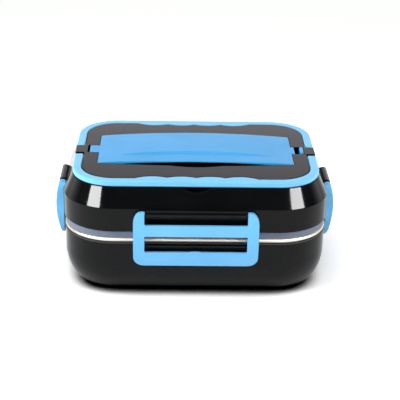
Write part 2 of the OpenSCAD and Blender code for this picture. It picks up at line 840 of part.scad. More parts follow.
module spoon() {
    reach = (pow(bowl_half, 2) - pow(spoon_width / 2, 2)) / spoon_width;
    rise = bowl_r - sqrt(bowl_r * bowl_r - bowl_half * bowl_half);
    lap = bowl_half / 6;
    color("#cfd1d3") translate([bowl_half - cutlery_half, cutlery_y, pocket_z + rest_gap]) {
        intersection() {
            translate([0, 0, bowl_r]) difference() {
                sphere(bowl_r, $fn = 256);
                sphere(bowl_r - bowl_wall, $fn = 256);
            }
            linear_extrude(rise) intersection_for (s = [-1, 1])
                translate([0, s * reach]) circle(reach + spoon_width / 2, $fn = 128);
        }
        translate([0, 0, rise - cutlery_thick - bowl_wall / 2]) linear_extrude(cutlery_thick)
            cutlery_handle(cutlery_width, bowl_half - lap, 2 * cutlery_half - 2 * bowl_half + lap);
    }
}

fork_head = 36;
fork_width = 21;
fork_slit = 2.2;
tine_length = 24;

module fork() {
    lap = fork_head / 4;
    color("#cfd1d3") translate([-cutlery_half, -cutlery_y, pocket_z + rest_gap])
        linear_extrude(cutlery_thick) difference() {
            union() {
                translate([fork_head / 2, 0]) round_rect([fork_head, fork_width], cutlery_width);
                cutlery_handle(cutlery_width, fork_head - lap, 2 * cutlery_half - fork_head + lap);
            }
            for (i = [-1 : 1]) translate([-through, i * fork_width / 4 - fork_slit / 2])
                square([tine_length + through, fork_slit]);
        }
}

// ---------------------------------------------------------------- latches

belly_z = (latch_low + hinge_z) / 2 + 4.9;

// How far the bowed face of a latch stands out from the band at height z
function bow(z) = belly_out - belly_radius + sqrt(pow(belly_radius, 2) - pow(z - belly_z, 2));

latch_steps = 20;    // flat steps that follow each curve of a latch's section

// Points that lie `depth` behind the bowed face, from the lower edge up to the hinge axis
function bow_points(depth) = [
    for (i = [0 : latch_steps]) let (z = latch_low + latch_drop * i / latch_steps) [depth - bow(z), z]
];

// (y, z) section of a latch: bowed front, round top over the hinge, round knuckle and flat back
module latch_section() {
    reach_in = hinge_out - knuckle_r;
    reach_out = bow(hinge_z);
    knuckle_end = acos((hinge_out - latch_back) / knuckle_r);
    polygon(concat(
        bow_points(0),
        [for (i = [1 : latch_steps]) let (a = 180 * (1 - i / latch_steps)) [
            (reach_out - reach_in) / 2 * cos(a) - (reach_out + reach_in) / 2, hinge_z + knuckle_r * sin(a)
        ]],
        [for (i = [1 : latch_steps / 4]) let (a = -4 * knuckle_end * i / latch_steps) [
            knuckle_r * cos(a) - hinge_out, hinge_z + knuckle_r * sin(a)
        ]],
        [[-latch_back, latch_low]]
    ));
}

module latch(side) {
    width = latch_width(side);
    half = slot_half(side);
    shoulder = rail_width(side) - 1;
    top = hinge_z + knuckle_r;
    slot_top = slot_low + latch_slot;
    nub_top = slot_low - nub_drop;
    color("#74bff2") on_side(side) difference() {
        union() {
            difference() {
                intersection() {
                    along_x(width) latch_section();
                    translate([0, -belly_out / 2, 0]) along_y(2 * belly_out) difference() {
                        union() {
                            translate([0, (latch_low + hinge_z) / 2]) round_rect([width, latch_drop], latch_corner);
                            translate([0, hinge_z - 10]) round_rect([width, 2 * (top - hinge_z + 10)], shoulder);
                        }
                        translate([-half, slot_low]) square([2 * half, latch_slot]);
                        translate([-half, slot_top + upper_bar]) square([2 * half, latch_drop]);
                    }
                }
                along_x(2 * half) polygon(concat(
                    bow_points(bar_thick), [[through, hinge_z], [through, latch_low]]
                ));
            }
            span([-half + 2, bar_thick / 2 - bow(nub_top), nub_top - nub_height], [half - 2, -nub_gap, nub_top]);
        }
        translate([0, -hinge_out, hinge_z]) rod_x(latch_pin_r + pin_gap, width - 9.6);
    }
}

module front_latch() { latch(0); }
module right_latch() { latch(1); }
module rear_latch() { latch(2); }
module left_latch() { latch(3); }

module latch_pin(side) {
    color("#b4b6b8") on_side(side) translate([0, -hinge_out, hinge_z]) rod_x(latch_pin_r, latch_width(side) - 10);
}

module front_latch_pin() { latch_pin(0); }
module right_latch_pin() { latch_pin(1); }
module rear_latch_pin() { latch_pin(2); }
module left_latch_pin() { latch_pin(3); }

// ---------------------------------------------------------------- handles

module handle_section() {
    translate([lid_corner - ring_inset - handle_width / 2, handle_z]) round_rect([handle_width, handle_thick], handle_round);
}

// Handle modelled at the front: two arms, two corners and a grip with finger waves
module handle() {
    arm = straight_y / 2 - pivot_y;
    bore = handle_width - pin_skin;
    difference() {
        union() {
            translate([-straight_x / 2, -straight_y / 2, 0]) rotate(180) rotate_extrude(angle = 90) handle_section();
            translate([straight_x / 2, -straight_y / 2, 0]) rotate(270) rotate_extrude(angle = 90) handle_section();
            translate([0, -straight_y / 2, 0]) rotate(180) along_x(straight_x) handle_section();
            for (s = [-1, 1]) {
                translate([s * arm_mid_x, -pivot_y - arm / 2, handle_z]) along_y(arm)
                    round_rect([handle_width, handle_thick], handle_round);
                translate([s * arm_mid_x, -pivot_y, handle_z]) rod_x(handle_thick / 2, handle_width);
            }
            translate([0, 0, seat_z]) linear_extrude(handle_thick) intersection() {
                waves(-1, 0);
                translate([-wave_zone / 2, -grip_inner_y - handle_round - 0.3])
                    square([wave_zone, wave_base + wave_rise + handle_round + 1]);
            }
        }
        for (s = [-1, 1]) translate([s * (arm_inner_x + bore / 2 - through / 2), -pivot_y, handle_z])
            rod_x(pivot_pin_r + pin_gap, bore + through);
    }
}

module front_handle() { color("#8fdcfb") handle(); }
module rear_handle() { color("#8fdcfb") rotate(180) handle(); }

module handle_pins(y) {
    low = pin_start;
    high = arm_inner_x + handle_width - pin_skin - rest_gap;
    color("#b4b6b8") for (s = [-1, 1]) translate([s * (low + high) / 2, y, handle_z]) rod_x(pivot_pin_r, high - low);
}

module front_handle_pins() { handle_pins(-pivot_y); }
module rear_handle_pins() { handle_pins(pivot_y); }

// ---------------------------------------------------------------- cutlery cover

arch_steps = 24;    // flat steps that follow the shallow arch
arch_r = (pow(cover_length / 2, 2) + pow(cover_arch, 2)) / (2 * cover_arch);

function arch_x(i) = cover_length * (i / arch_steps - 1 / 2);
function arch_z(i) = deck_z + cover_arch - arch_r + sqrt(pow(arch_r, 2) - pow(arch_x(i), 2));

module cutlery_cover() {
    foot_thick = 2;
    floor_low = clip_root_z - clip_root_r - 0.7;
    color("#5fb0ea") difference() {
        union() {
            along_y(cover_depth) polygon(concat(
                [for (i = [0 : arch_steps]) [arch_x(i), arch_z(i)]],
                [for (i = [arch_steps : -1 : 0]) [arch_x(i), arch_z(i) - cover_thick]]
            ));
            span([-cover_length / 2 - tongue_reach, -tongue_width / 2, deck_z - cover_thick],
                 [-cover_length / 2 + join, tongue_width / 2, deck_z]);
            translate([-cover_pin_x, 0, cover_pin_z]) rod_y(cover_pin_r, tongue_width + 2 * cover_pin_out - side_gap);
            span([cover_length / 2 - join, -tongue_width / 2, deck_z - cover_thick],
                 [arm_x + arm_thick, tongue_width / 2, deck_z]);
            span([arm_x, -clip_width / 2, floor_low], [arm_x + arm_thick, clip_width / 2, deck_z - join]);
            span([arm_x, -clip_width / 2, floor_low], [clip_x, clip_width / 2, floor_low + foot_thick]);
        }
        translate([clip_x, 0, clip_root_z]) rod_y(clip_root_r + pin_gap, tongue_width);
    }
}

module cover_clip() {
    nub_top = deck_z + 1;
    color("#4b9fdc") {
        translate([clip_x, 0, clip_root_z]) rod_y(clip_root_r, clip_width);
        span([clip_x - clip_thick / 2, -clip_width / 2, clip_root_z],
             [clip_x + clip_thick / 2, clip_width / 2, nub_top - clip_thick / 2]);
        translate([clip_x, 0, nub_top - clip_thick / 2]) rod_y(clip_thick / 2, clip_width);
        span([clip_x, -catch_width / 2, catch_low], [clip_x + clip_thick / 2 + catch_out, catch_width / 2, catch_high]);
    }
}

// ---------------------------------------------------------------- nodes

base_shell();
inner_liner();
heater_plate();
element_left();
element_right();
element_clamp();
thermostat();
thermal_fuse();
live_wire();
link_wire();
element_leads();
neutral_leads();
power_inlet();
inlet_contacts();
indicator_lens();
indicator_lamp();
base_plate();
base_screws();
foot_front_left();
foot_front_right();
foot_rear_left();
foot_rear_right();
food_tray();
lid_shell();
lid_liner();
lid_seal();
vent_plug();
spoon();
fork();
front_latch();
right_latch();
rear_latch();
left_latch();
front_latch_pin();
right_latch_pin();
rear_latch_pin();
left_latch_pin();
front_handle();
rear_handle();
front_handle_pins();
rear_handle_pins();
cutlery_cover();
cover_clip();
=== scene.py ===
"""Electric lunch box: the detailed pieces and finishes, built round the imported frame.

Shapes are worked out in millimetres and turned into metres when a piece is finished.
"""
import math

import bmesh
import bpy
from mathutils import Matrix, Vector


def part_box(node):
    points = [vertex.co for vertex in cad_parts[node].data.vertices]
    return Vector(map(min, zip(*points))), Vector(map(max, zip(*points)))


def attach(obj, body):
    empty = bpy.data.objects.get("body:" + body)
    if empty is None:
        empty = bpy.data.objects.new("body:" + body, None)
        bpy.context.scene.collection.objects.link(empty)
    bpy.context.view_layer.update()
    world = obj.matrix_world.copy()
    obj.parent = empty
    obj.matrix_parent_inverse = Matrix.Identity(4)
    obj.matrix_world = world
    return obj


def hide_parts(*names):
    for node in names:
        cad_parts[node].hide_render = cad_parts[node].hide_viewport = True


MM = 0.001

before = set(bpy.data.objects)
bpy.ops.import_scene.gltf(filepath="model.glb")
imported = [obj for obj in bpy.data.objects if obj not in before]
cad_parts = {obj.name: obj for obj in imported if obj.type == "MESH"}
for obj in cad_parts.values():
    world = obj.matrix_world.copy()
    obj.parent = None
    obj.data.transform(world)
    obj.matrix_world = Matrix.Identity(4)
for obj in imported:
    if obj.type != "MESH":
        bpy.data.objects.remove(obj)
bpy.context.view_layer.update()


def box_mm(node):
    low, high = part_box(node)
    return low / MM, high / MM


# ---------------------------------------------------------------- sizes

tray_low, tray_high = box_mm("food_tray")
lid_low, lid_high = box_mm("lid_shell")
handle_low, handle_high = box_mm("front_handle")
latch_low, latch_high = box_mm("front_latch")
_, side_latch_high = box_mm("right_latch")
latch_pin_low, latch_pin_high = box_mm("front_latch_pin")
handle_pin_low, handle_pin_high = box_mm("front_handle_pins")
cover_low, cover_high = box_mm("cutlery_cover")
clip_low, clip_high = box_mm("cover_clip")
seal_low, seal_high = box_mm("lid_seal")
base_low, base_high = box_mm("base_shell")
foot_low, foot_high = box_mm("foot_front_left")
spoon_low, spoon_high = box_mm("spoon")
fork_low, fork_high = box_mm("fork")

# Plan of the box. Insets are measured inwards from the face of the lid band.
BEAD_INSET = 0.6
BASE_INSET = 0.7
SEAL_INSET = 1.4
HALF_X = tray_high.x + BEAD_INSET
HALF_Y = tray_high.y + BEAD_INSET
CORNER = 42.0
CORNER_STEPS = 20
SHELL_WALL = 2.2

# Levels and insets of the lid, from the band up to the deck
BAND_BOTTOM = lid_low.z
BAND_TOP = BAND_BOTTOM + 20.0
SKIRT_LEAN = 7.3
SEAT_Z = handle_low.z
DECK_Z = lid_high.z
RING_INSET = HALF_X - handle_high.x
HANDLE_WIDTH = 7.0
DECK_GAP = 0.6
DECK_INSET = RING_INSET + HANDLE_WIDTH + DECK_GAP
DECK_HALF_X = HALF_X - DECK_INSET
GRIP_INNER = HALF_Y - RING_INSET - HANDLE_WIDTH
TAB_HALF = 8.0

# Base: the round turn between wall and floor, and the steel tray that hangs in it
BASE_TURN = 17.0
TURN_HEIGHT = 28.0
TURN_INSET = BASE_INSET + BASE_TURN
BASE_TOP = base_high.z
FLOOR_Z = base_low.z
RIM_TOP = tray_high.z

# Finger waves along the inner edge of each grip
WAVES = 4
WAVE_PITCH = 23.4
WAVE_RISE = 2.8
WAVE_BASE = 1.8
WAVE_R = ((WAVE_PITCH / 2) ** 2 + WAVE_RISE**2) / (2 * WAVE_RISE)
WAVE_SINK = WAVE_R - WAVE_RISE - WAVE_BASE

# Hinges of the handles and latches. Distances named OUT are measured outwards from the band.
PIN_R = 1.2
PIN_HOLE_R = 1.26
PIVOT_Y = (handle_pin_low.y + handle_pin_high.y) / 2
PIVOT_Z = (handle_pin_low.z + handle_pin_high.z) / 2
HINGE_OUT = -HALF_Y - (latch_pin_low.y + latch_pin_high.y) / 2
HINGE_Z = (latch_pin_low.z + latch_pin_high.z) / 2
BARREL_R = 3.2
WEB_ABOVE = 1.6
WEB_BELOW = 2.4
PIN_WALL = 4.8

# Latches: the bow of their face, then their bars and slots from the lower edge up
BELLY_OUT = -HALF_Y - latch_low.y
BELLY_R = 74.0
BELLY_Z = (latch_low.z + HINGE_Z) / 2 + 4.9
LATCH_BACK = 1.8
BAR_THICK = 2.6
LONG_RAIL = 8.9
SHORT_RAIL = 9.0
LOWER_BAR = 13.3
LATCH_SLOT = 14.9
UPPER_BAR = 9.0
KNUCKLE_TOP = 1.7
LATCH_CORNER = 8.5
SLOT_LOW = latch_low.z + LOWER_BAR
SLOT_CORNER = 0.7
NUB_TOP = SLOT_LOW - 3.2
NUB_HEIGHT = 2.2
NUB_GAP = 0.4

# Cutlery cover, its trunnion and the pocket under it
COVER_HALF_X = 81.5
COVER_HALF_Y = cover_high.y
COVER_THICK = 2.2
COVER_ARCH = cover_high.z - DECK_Z
COVER_R = (COVER_HALF_X**2 + COVER_ARCH**2) / (2 * COVER_ARCH)
COVER_GAP = 0.3
COVER_EDGE = 0.6
TRUNNION_X = -COVER_HALF_X - 5.0
TRUNNION_Z = DECK_Z - COVER_THICK / 2
TRUNNION_R = 1.0
TRUNNION_END = 1.5
TRUNNION_GAP = 0.06
LEDGE_Z = DECK_Z - COVER_THICK - 0.1
POCKET_Z = fork_low.z - 0.1
LEDGE = 3.0
TONGUE_SLOT_DEPTH = 5.5

# Crease and step along the front of the cover, bowed towards the middle
CREASE_HALF = 64.0
CREASE_Y = -14.0
CREASE_BOW = 3.4
STEP_DOWN = 1.2
STEP_RUN = 1.6

# Relief of the deck along the cover, and the scoop for a finger in its middle
RELIEF_REACH = 5.4
RELIEF_DEPTH = 3.0
SCOOP_LIP = 0.5
CRESCENT_WIDTH = 66.0
CRESCENT_REACH = 8.5
CRESCENT_DEPTH = 3.2

# Spring clip at the right end of the cover
CLIP_SLOT_X = COVER_HALF_X + 10.9
CLIP_SLOT_DEPTH = 12.0
CLIP_CATCH = 0.9
CLIP_ROOT_R = 1.6
CLIP_ROOT_X = (clip_low.x + clip_high.x - CLIP_CATCH) / 2
CLIP_ROOT_Z = clip_low.z + CLIP_ROOT_R
CLIP_HALF = 1.55

# Round finger notch under each grip
NOTCH_WIDTH = 23.0
NOTCH_DEPTH = 4.1
NOTCH_REACH = 4.0
NOTCH_BACK_HALF = 13.5


# ---------------------------------------------------------------- mesh tools


def fillet(points, radii, steps=5):
    """Rounds the corners of a run of (a, b) points; a radius of 0 keeps a corner."""
    out = []
    count = len(points)
    for i, (p, r) in enumerate(zip(points, radii)):
        here = Vector(p)
        if not r:
            out.append(here)
            continue
        before = (Vector(points[i - 1]) - here).normalized()
        after = (Vector(points[(i + 1) % count]) - here).normalized()
        half = before.angle(after) / 2
        reach = r / math.tan(half)
        start, end = here + before * reach, here + after * reach
        centre = here + (before + after).normalized() * (r / math.sin(half))
        a0 = math.atan2(*reversed(start - centre))
        turn = math.atan2(*reversed(end - centre)) - a0
        turn = (turn + math.pi) % (2 * math.pi) - math.pi
        for k in range(steps + 1):
            a = a0 + turn * k / steps
            out.append(centre + Vector((math.cos(a), math.sin(a))) * r)
    return out


def arc(centre, r, start, end, steps):
    """Points of an arc; angles in degrees."""
    angles = [math.radians(start + (end - start) * k / steps) for k in range(steps + 1)]
    return [Vector((centre[0] + r * math.cos(a), centre[1] + r * math.sin(a))) for a in angles]


def plan_ring(inset):
    """Points round the plan of the box at one inset."""
    r = CORNER - inset
    ring = []
    for sx, sy, start in ((1, 1, 0), (-1, 1, 90), (-1, -1, 180), (1, -1, 270)):
        centre = (sx * (HALF_X - CORNER), sy * (HALF_Y - CORNER))
        ring += arc(centre, r, start, start + 90, CORNER_STEPS)
    return ring


def loft(bm, rings, closed=False):
    """Joins rings of equal count with quads; joins the last ring to the first, or caps both."""
    rows = [[bm.verts.new(p) for p in ring] for ring in rings]
    count = len(rows[0])
    pairs = list(zip(rows, rows[1:])) + ([(rows[-1], rows[0])] if closed else [])
    for a, b in pairs:
        for i in range(count):
            j = (i + 1) % count
            bm.faces.new((a[i], a[j], b[j], b[i]))
    if not closed:
        bm.faces.new(list(reversed(rows[0])))
        bm.faces.new(rows[-1])


def add_swept(bm, section, closed=True):
    """Sweeps (inset, z) points round the plan; an open section has its two rings capped."""
    loft(bm, [[(p.x, p.y, z) for p in plan_ring(inset)] for inset, z in section], closed)


def add_prism(bm, outline, low, high, place=Matrix.Identity(4)):
    """Prism of a closed outline from low to high along z, then moved by place."""
    loft(bm, [[place @ Vector((p[0], p[1], z)) for p in outline] for z in (low, high)])


def add_box(bm, low, high, place=Matrix.Identity(4)):
    corners = [(low[0], low[1]), (high[0], low[1]), (high[0], high[1]), (low[0], high[1])]
    add_prism(bm, corners, low[2], high[2], place)


def circle(r, sides):
    return arc((0, 0), r, 0, 360 - 360 / sides, sides - 1)


def add_rod(bm, a, b, r, chamfer=0.3, sides=32):
    """Round rod from a to b with chamfered ends."""
    axis = Vector(b) - Vector(a)
    length = axis.length
    turn = axis.to_track_quat("Z", "Y").to_matrix().to_4x4()
    turn.translation = Vector(a)
    rings = []
    for z, radius in ((0, r - chamfer), (chamfer, r), (length - chamfer, r), (length, r - chamfer)):
        rings.append([turn @ Vector((*p, z)) for p in circle(radius, sides)])
    loft(bm, rings)


def link(name, data):
    """New object in the scene with the given mesh, lamp or camera."""
    obj = bpy.data.objects.new(name, data)
    bpy.context.scene.collection.objects.link(obj)
    return obj


def discard(obj):
    mesh = obj.data
    bpy.data.objects.remove(obj)
    bpy.data.meshes.remove(mesh)


def scratch(fill, name="scratch"):
    """Object in millimetres, made by fill(bm), with its normals outwards."""
    bm = bmesh.new()
    fill(bm)
    bmesh.ops.remove_doubles(bm, verts=bm.verts, dist=1e-4)
    bmesh.ops.recalc_face_normals(bm, faces=bm.faces)
    mesh = bpy.data.meshes.new(name)
    bm.to_mesh(mesh)
    bm.free()
    return link(name, mesh)


def apply_modifiers(obj):
    depsgraph = bpy.context.evaluated_depsgraph_get()
    mesh = bpy.data.meshes.new_from_object(obj.evaluated_get(depsgraph))
    obj.modifiers.clear()
    old = obj.data
    obj.data = mesh
    bpy.data.meshes.remove(old)


def combine(obj, other, operation):
    """Boolean of two scratch objects; the second one is used up."""
    mod = obj.modifiers.new("combine", "BOOLEAN")
    mod.operation = operation
    mod.solver = "EXACT"
    mod.object = other
    apply_modifiers(obj)
    discard(other)


def carve(obj, fill):
    combine(obj, scratch(fill, "cutter"), "DIFFERENCE")


def soften(obj, width, segments=3, angle=34):
    """Rounds the sharp edges of a scratch object."""
    bm = bmesh.new()
    bm.from_mesh(obj.data)
    bmesh.ops.remove_doubles(bm, verts=bm.verts, dist=2e-3)
    bmesh.ops.dissolve_limit(bm, angle_limit=math.radians(0.4), verts=bm.verts, edges=bm.edges)
    bm.to_mesh(obj.data)
    bm.free()
    mod = obj.modifiers.new("soften", "BEVEL")
    mod.width = width
    mod.segments = segments
    mod.limit_method = "ANGLE"
    mod.angle_limit = math.radians(angle)
    mod.use_clamp_overlap = True
    mod.miter_outer = "MITER_ARC"
    apply_modifiers(obj)


def merge(name, *parts):
    """One scratch object out of several."""
    bm = bmesh.new()
    for part in parts:
        bm.from_mesh(part.data)
        discard(part)
    mesh = bpy.data.meshes.new(name)
    bm.to_mesh(mesh)
    bm.free()
    return link(name, mesh)


def finish(obj, name, body, material, slot, *nodes, sharp=32):
    """Names a scratch object, scales it to metres, smooths it and hands it to the frame."""
    obj.name = obj.data.name = name
    obj.data.transform(Matrix.Scale(MM, 4))
    obj.data.materials.clear()
    obj.data.materials.append(material)
    for poly in obj.data.polygons:
        poly.material_index = 0
        poly.use_smooth = True
    obj.data.set_sharp_from_angle(angle=math.radians(sharp))
    mod = obj.modifiers.new("even shading", "WEIGHTED_NORMAL")
    mod.keep_sharp = True
    mod.weight = 60
    apply_modifiers(obj)
    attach(obj, body)
    if nodes:
        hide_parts(*nodes)
    return obj


# ---------------------------------------------------------------- finishes


class Flow:
    """A shader socket; arithmetic on it adds Math nodes."""

    def __init__(self, shading, socket):
        self.shading = shading
        self.socket = socket

    def _math(self, operation, first, second):
        return self.shading.node("ShaderNodeMath", {"operation": operation}, {0: first, 1: second})

    def __add__(self, other):
        return self._math("ADD", self, other)

    __radd__ = __add__

    def __sub__(self, other):
        return self._math("SUBTRACT", self, other)

    def __rsub__(self, other):
        return self._math("SUBTRACT", other, self)

    def __mul__(self, other):
        return self._math("MULTIPLY", self, other)

    __rmul__ = __mul__


class Shading:
    """A shader tree under construction."""

    def __init__(self, tree):
        self.tree = tree

    def node(self, kind, settings, inputs, output=0):
        """Adds a node: settings first, then its sockets' values or links. Gives one output, if any."""
        made = self.tree.nodes.new(kind)
        for key, value in settings.items():
            setattr(made, key, value)
        for key, value in inputs.items():
            self.feed(self._socket(made.inputs, key), value)
        return None if output is None else Flow(self, self._socket(made.outputs, output))

    def _socket(self, sockets, key):
        if isinstance(key, int):
            return sockets[key]
        named = [s for s in sockets if s.identifier == key or s.name == key]
        return next((s for s in named if s.identifier == key), named[0])

    def feed(self, socket, value):
        if isinstance(value, Flow):
            self.tree.links.new(value.socket, socket)
        elif socket.type == "RGBA" and len(value) == 3:
            socket.default_value = (*value, 1)
        else:
            socket.default_value = value

    def mix(self, factor, first, second):
        inputs = {"Factor_Float": factor, "A_Color": first, "B_Color": second}
        return self.node("ShaderNodeMix", {"data_type": "RGBA"}, inputs, "Result_Color")

    def between(self, value, low, high, out_low=0.0, out_high=1.0, ease="LINEAR"):
        """Value mapped from low..high to out_low..out_high and held there."""
        inputs = {"Value": value, "From Min": low, "From Max": high, "To Min": out_low, "To Max": out_high}
        return self.node("ShaderNodeMapRange", {"interpolation_type": ease}, inputs, "Result")

    def choose(self, factor, first, second):
        return self.node("ShaderNodeMixShader", {}, {0: factor, 1: first, 2: second})

    def ray(self, kind):
        return self.node("ShaderNodeLightPath", {}, {}, kind)


class Finish(Shading):
    """A Principled material under construction."""

    def __init__(self, name, **fixed):
        self.material = bpy.data.materials.new(name)
        self.material.use_nodes = True
        super().__init__(self.material.node_tree)
        self.shader = self.tree.nodes["Principled BSDF"]
        self.coords = self.node("ShaderNodeTexCoord", {}, {}, "Object")
        for key, value in fixed.items():
            self.set(key.replace("_", " ").title().replace("Ior", "IOR"), value)

    def set(self, name, value):
        self.feed(self.shader.inputs[name], value)

    def noise(self, scale, detail=2.0, stretch=(1, 1, 1), roughness=0.5):
        """Noise in Object coordinates; scale is in waves per metre."""
        place = self.node("ShaderNodeMapping", {}, {"Vector": self.coords, "Scale": stretch})
        inputs = {"Vector": place, "Scale": scale, "Detail": detail, "Roughness": roughness}
        return self.node("ShaderNodeTexNoise", {}, inputs, "Fac")

    def bump(self, height, strength, distance, normal=None):
        inputs = {"Height": height, "Strength": strength, "Distance": distance}
        if normal:
            inputs["Normal"] = normal
        return self.node("ShaderNodeBump", {}, inputs, "Normal")


def linear(r, g, b):
    """Linear colour of an sRGB colour given in 0 to 255."""
    return tuple(c / 3294.6 if c <= 10 else ((c / 255 + 0.055) / 1.055) ** 2.4 for c in (r, g, b))


def moulded_gloss(name, colour, shade, gloss=0.12, grain=0.0, shine=0.5):
    """Glossy injection moulding: faint mottling, fine scuffs in the gloss and a slight waviness."""
    f = Finish(name, specular_ior_level=shine)
    mottle = f.between(f.noise(38, 3), 0.35, 0.65)
    f.set("Base Color", f.mix(mottle, colour, shade))
    scuffs = f.between(f.noise(420, 4, (1, 3, 2), 0.65), 0.52, 0.72)
    haze = f.between(f.noise(25, 2), 0.4, 0.7)
    f.set("Roughness", gloss + haze * 0.04 + scuffs * 0.07)
    wave = f.bump(f.noise(70, 1), 0.05, 0.0006)
    f.set("Normal", f.bump(f.noise(2600, 2), grain, 0.00006, wave) if grain else wave)
    return f.material


def moulded_satin(name, colour, shade, rough=0.42):
    """Satin moulding with a fine even grain."""
    f = Finish(name, specular_ior_level=0.45)
    f.set("Base Color", f.mix(f.between(f.noise(45, 3), 0.35, 0.65), colour, shade))
    f.set("Roughness", rough + f.noise(700, 3) * 0.12)
    f.set("Normal", f.bump(f.noise(3200, 2), 0.25, 0.00008))
    return f.material


def soft_rubber(name, colour, shade, rough=0.55):
    """Silicone or rubber: dull, with specks of dust."""
    f = Finish(name, specular_ior_level=0.35)
    dust = f.between(f.noise(1500, 4, roughness=0.7), 0.6, 0.78)
    tone = f.mix(f.between(f.noise(60, 2), 0.35, 0.65), colour, shade)
    f.set("Base Color", f.mix(dust * 0.3, tone, tuple(min(1, c * 1.6 + 0.05) for c in colour)))
    f.set("Roughness", rough + dust * 0.2)
    f.set("Normal", f.bump(f.noise(1800, 2), 0.2, 0.0001))
    return f.material


def drawn_steel(name, colour, rough=0.22, stretch=(1, 1, 14)):
    """Stainless steel with fine drawing lines."""
    f = Finish(name, metallic=1.0)
    lines = f.noise(900, 3, stretch, 0.7)
    f.set("Base Color", f.mix(f.between(lines, 0.3, 0.7), colour, tuple(c * 0.86 for c in colour)))
    f.set("Roughness", rough + f.between(f.noise(50, 2), 0.3, 0.7) * 0.08 + lines * 0.06)
    f.set("Normal", f.bump(lines, 0.12, 0.00004))
    return f.material


def cast_metal(name, colour, rough=0.4):
    """Plain plated or cast metal with a dull bloom."""
    f = Finish(name, metallic=1.0)
    bloom = f.between(f.noise(140, 4, roughness=0.6), 0.35, 0.7)
    f.set("Base Color", f.mix(bloom, colour, tuple(c * 0.75 for c in colour)))
    f.set("Roughness", rough + bloom * 0.15)
    f.set("Normal", f.bump(f.noise(1500, 3), 0.15, 0.00006))
    return f.material


def tinted_lens(name, colour):
    """Clear tinted moulding over a lamp."""
    f = Finish(name, transmission_weight=0.35, ior=1.49)
    f.set("Base Color", f.mix(f.noise(300, 2), colour, tuple(c * 0.7 for c in colour)))
    f.set("Roughness", 0.08 + f.noise(900, 2) * 0.08)
    return f.material


BLACK = moulded_gloss(
    "gloss_black_shell", linear(13, 14, 15), linear(10, 11, 12), gloss=0.07, shine=0.12
)
LINER_BLACK = moulded_satin("satin_black_liner", linear(44, 44, 47), linear(36, 36, 38))
GRAIN_BLACK = moulded_satin("grained_black", linear(30, 30, 32), linear(24, 24, 26), 0.5)
LATCH_BLUE = moulded_gloss(
    "latch_blue", linear(118, 198, 249), linear(112, 194, 248), gloss=0.32, grain=0.05, shine=0.3
)
HANDLE_BLUE = moulded_gloss(
    "handle_blue", linear(124, 204, 248), linear(118, 200, 247), gloss=0.34, grain=0.05, shine=0.4
)
COVER_BLUE = moulded_gloss(
    "cover_blue", linear(66, 168, 230), linear(58, 161, 224), gloss=0.32, grain=0.08, shine=0.3
)
SEAL_GREY = soft_rubber("seal_silicone", linear(112, 121, 141), linear(104, 113, 133))
FOOT_RUBBER = soft_rubber("foot_rubber", linear(42, 42, 44), linear(36, 36, 38), 0.7)
RIM_STEEL = drawn_steel("tray_steel", linear(190, 186, 174), 0.42)
CUTLERY_STEEL = drawn_steel("cutlery_steel", linear(222, 222, 222), 0.14, (14, 1, 1))
PIN_STEEL = drawn_steel("pin_steel", linear(200, 200, 202), 0.3, (1, 1, 1))
ALUMINIUM = cast_metal("heater_aluminium", linear(205, 207, 209))
CAN_METAL = cast_metal("thermostat_can", linear(190, 188, 182), 0.35)
PLATED = cast_metal("plated_contacts", linear(214, 200, 160), 0.25)
FUSE_COAT = moulded_satin("fuse_coat", linear(216, 206, 184), linear(204, 194, 172), 0.5)
WIRE_RED = moulded_satin("wire_red", linear(150, 52, 40), linear(134, 44, 34), 0.5)
WIRE_BLUE = moulded_satin("wire_blue", linear(52, 84, 140), linear(46, 74, 126), 0.5)
LENS_RED = tinted_lens("lens_red", linear(205, 50, 38))
LAMP_GLASS = tinted_lens("lamp_glass", linear(236, 200, 178))


# ---------------------------------------------------------------- node trees


class Tree:
    """A Geometry Nodes tree with named inputs."""

    def __init__(self, name, **inputs):
        self.group = bpy.data.node_groups.new(name, "GeometryNodeTree")
        face = self.group.interface
        face.new_socket("Geometry", in_out="OUTPUT", socket_type="NodeSocketGeometry")
        for key, default in inputs.items():
            number = isinstance(default, float)
            kind = "Float" if number else "Object" if default is None else "Material"
            made = face.new_socket(key, in_out="INPUT", socket_type=f"NodeSocket{kind}")
            if number:
                made.default_value = default
        self.source = self.group.nodes.new("NodeGroupInput")
        self.sink = self.group.nodes.new("NodeGroupOutput")

    def get(self, key):
        return self.source.outputs[key]

    def node(self, kind, settings, inputs, output=0):
        made = self.group.nodes.new(kind)
        for key, value in settings.items():
            setattr(made, key, value)
        for key, value in inputs.items():
            if isinstance(value, bpy.types.NodeSocket):
                self.group.links.new(value, made.inputs[key])
            else:
                made.inputs[key].default_value = value
        return made.outputs[output]

    def raised(self, geometry, key):
        """Geometry lifted along z by the named input."""
        lift = self.node("ShaderNodeCombineXYZ", {}, {"Z": self.get(key)})
        return self.node("GeometryNodeTransform", {}, {"Geometry": geometry, "Translation": lift})

    def done(self, geometry):
        """Realizes, sets the material and ends the tree."""
        real = self.node("GeometryNodeRealizeInstances", {}, {0: geometry})
        inputs = {"Geometry": real, "Material": self.get("Finish")}
        self.group.links.new(self.node("GeometryNodeSetMaterial", {}, inputs), self.sink.inputs[0])
        return self


def grow(name, tree, start=None, **values):
    """Scratch object in millimetres, made by a tree; start is a mesh that the tree works on."""
    obj = link(name, start or bpy.data.meshes.new(name))
    mod = obj.modifiers.new("grow", "NODES")
    mod.node_group = tree.group
    sockets = {s.name: s.identifier for s in tree.group.interface.items_tree if s.in_out == "INPUT"}
    for key, value in values.items():
        mod[sockets[key]] = value
    apply_modifiers(obj)
    return obj


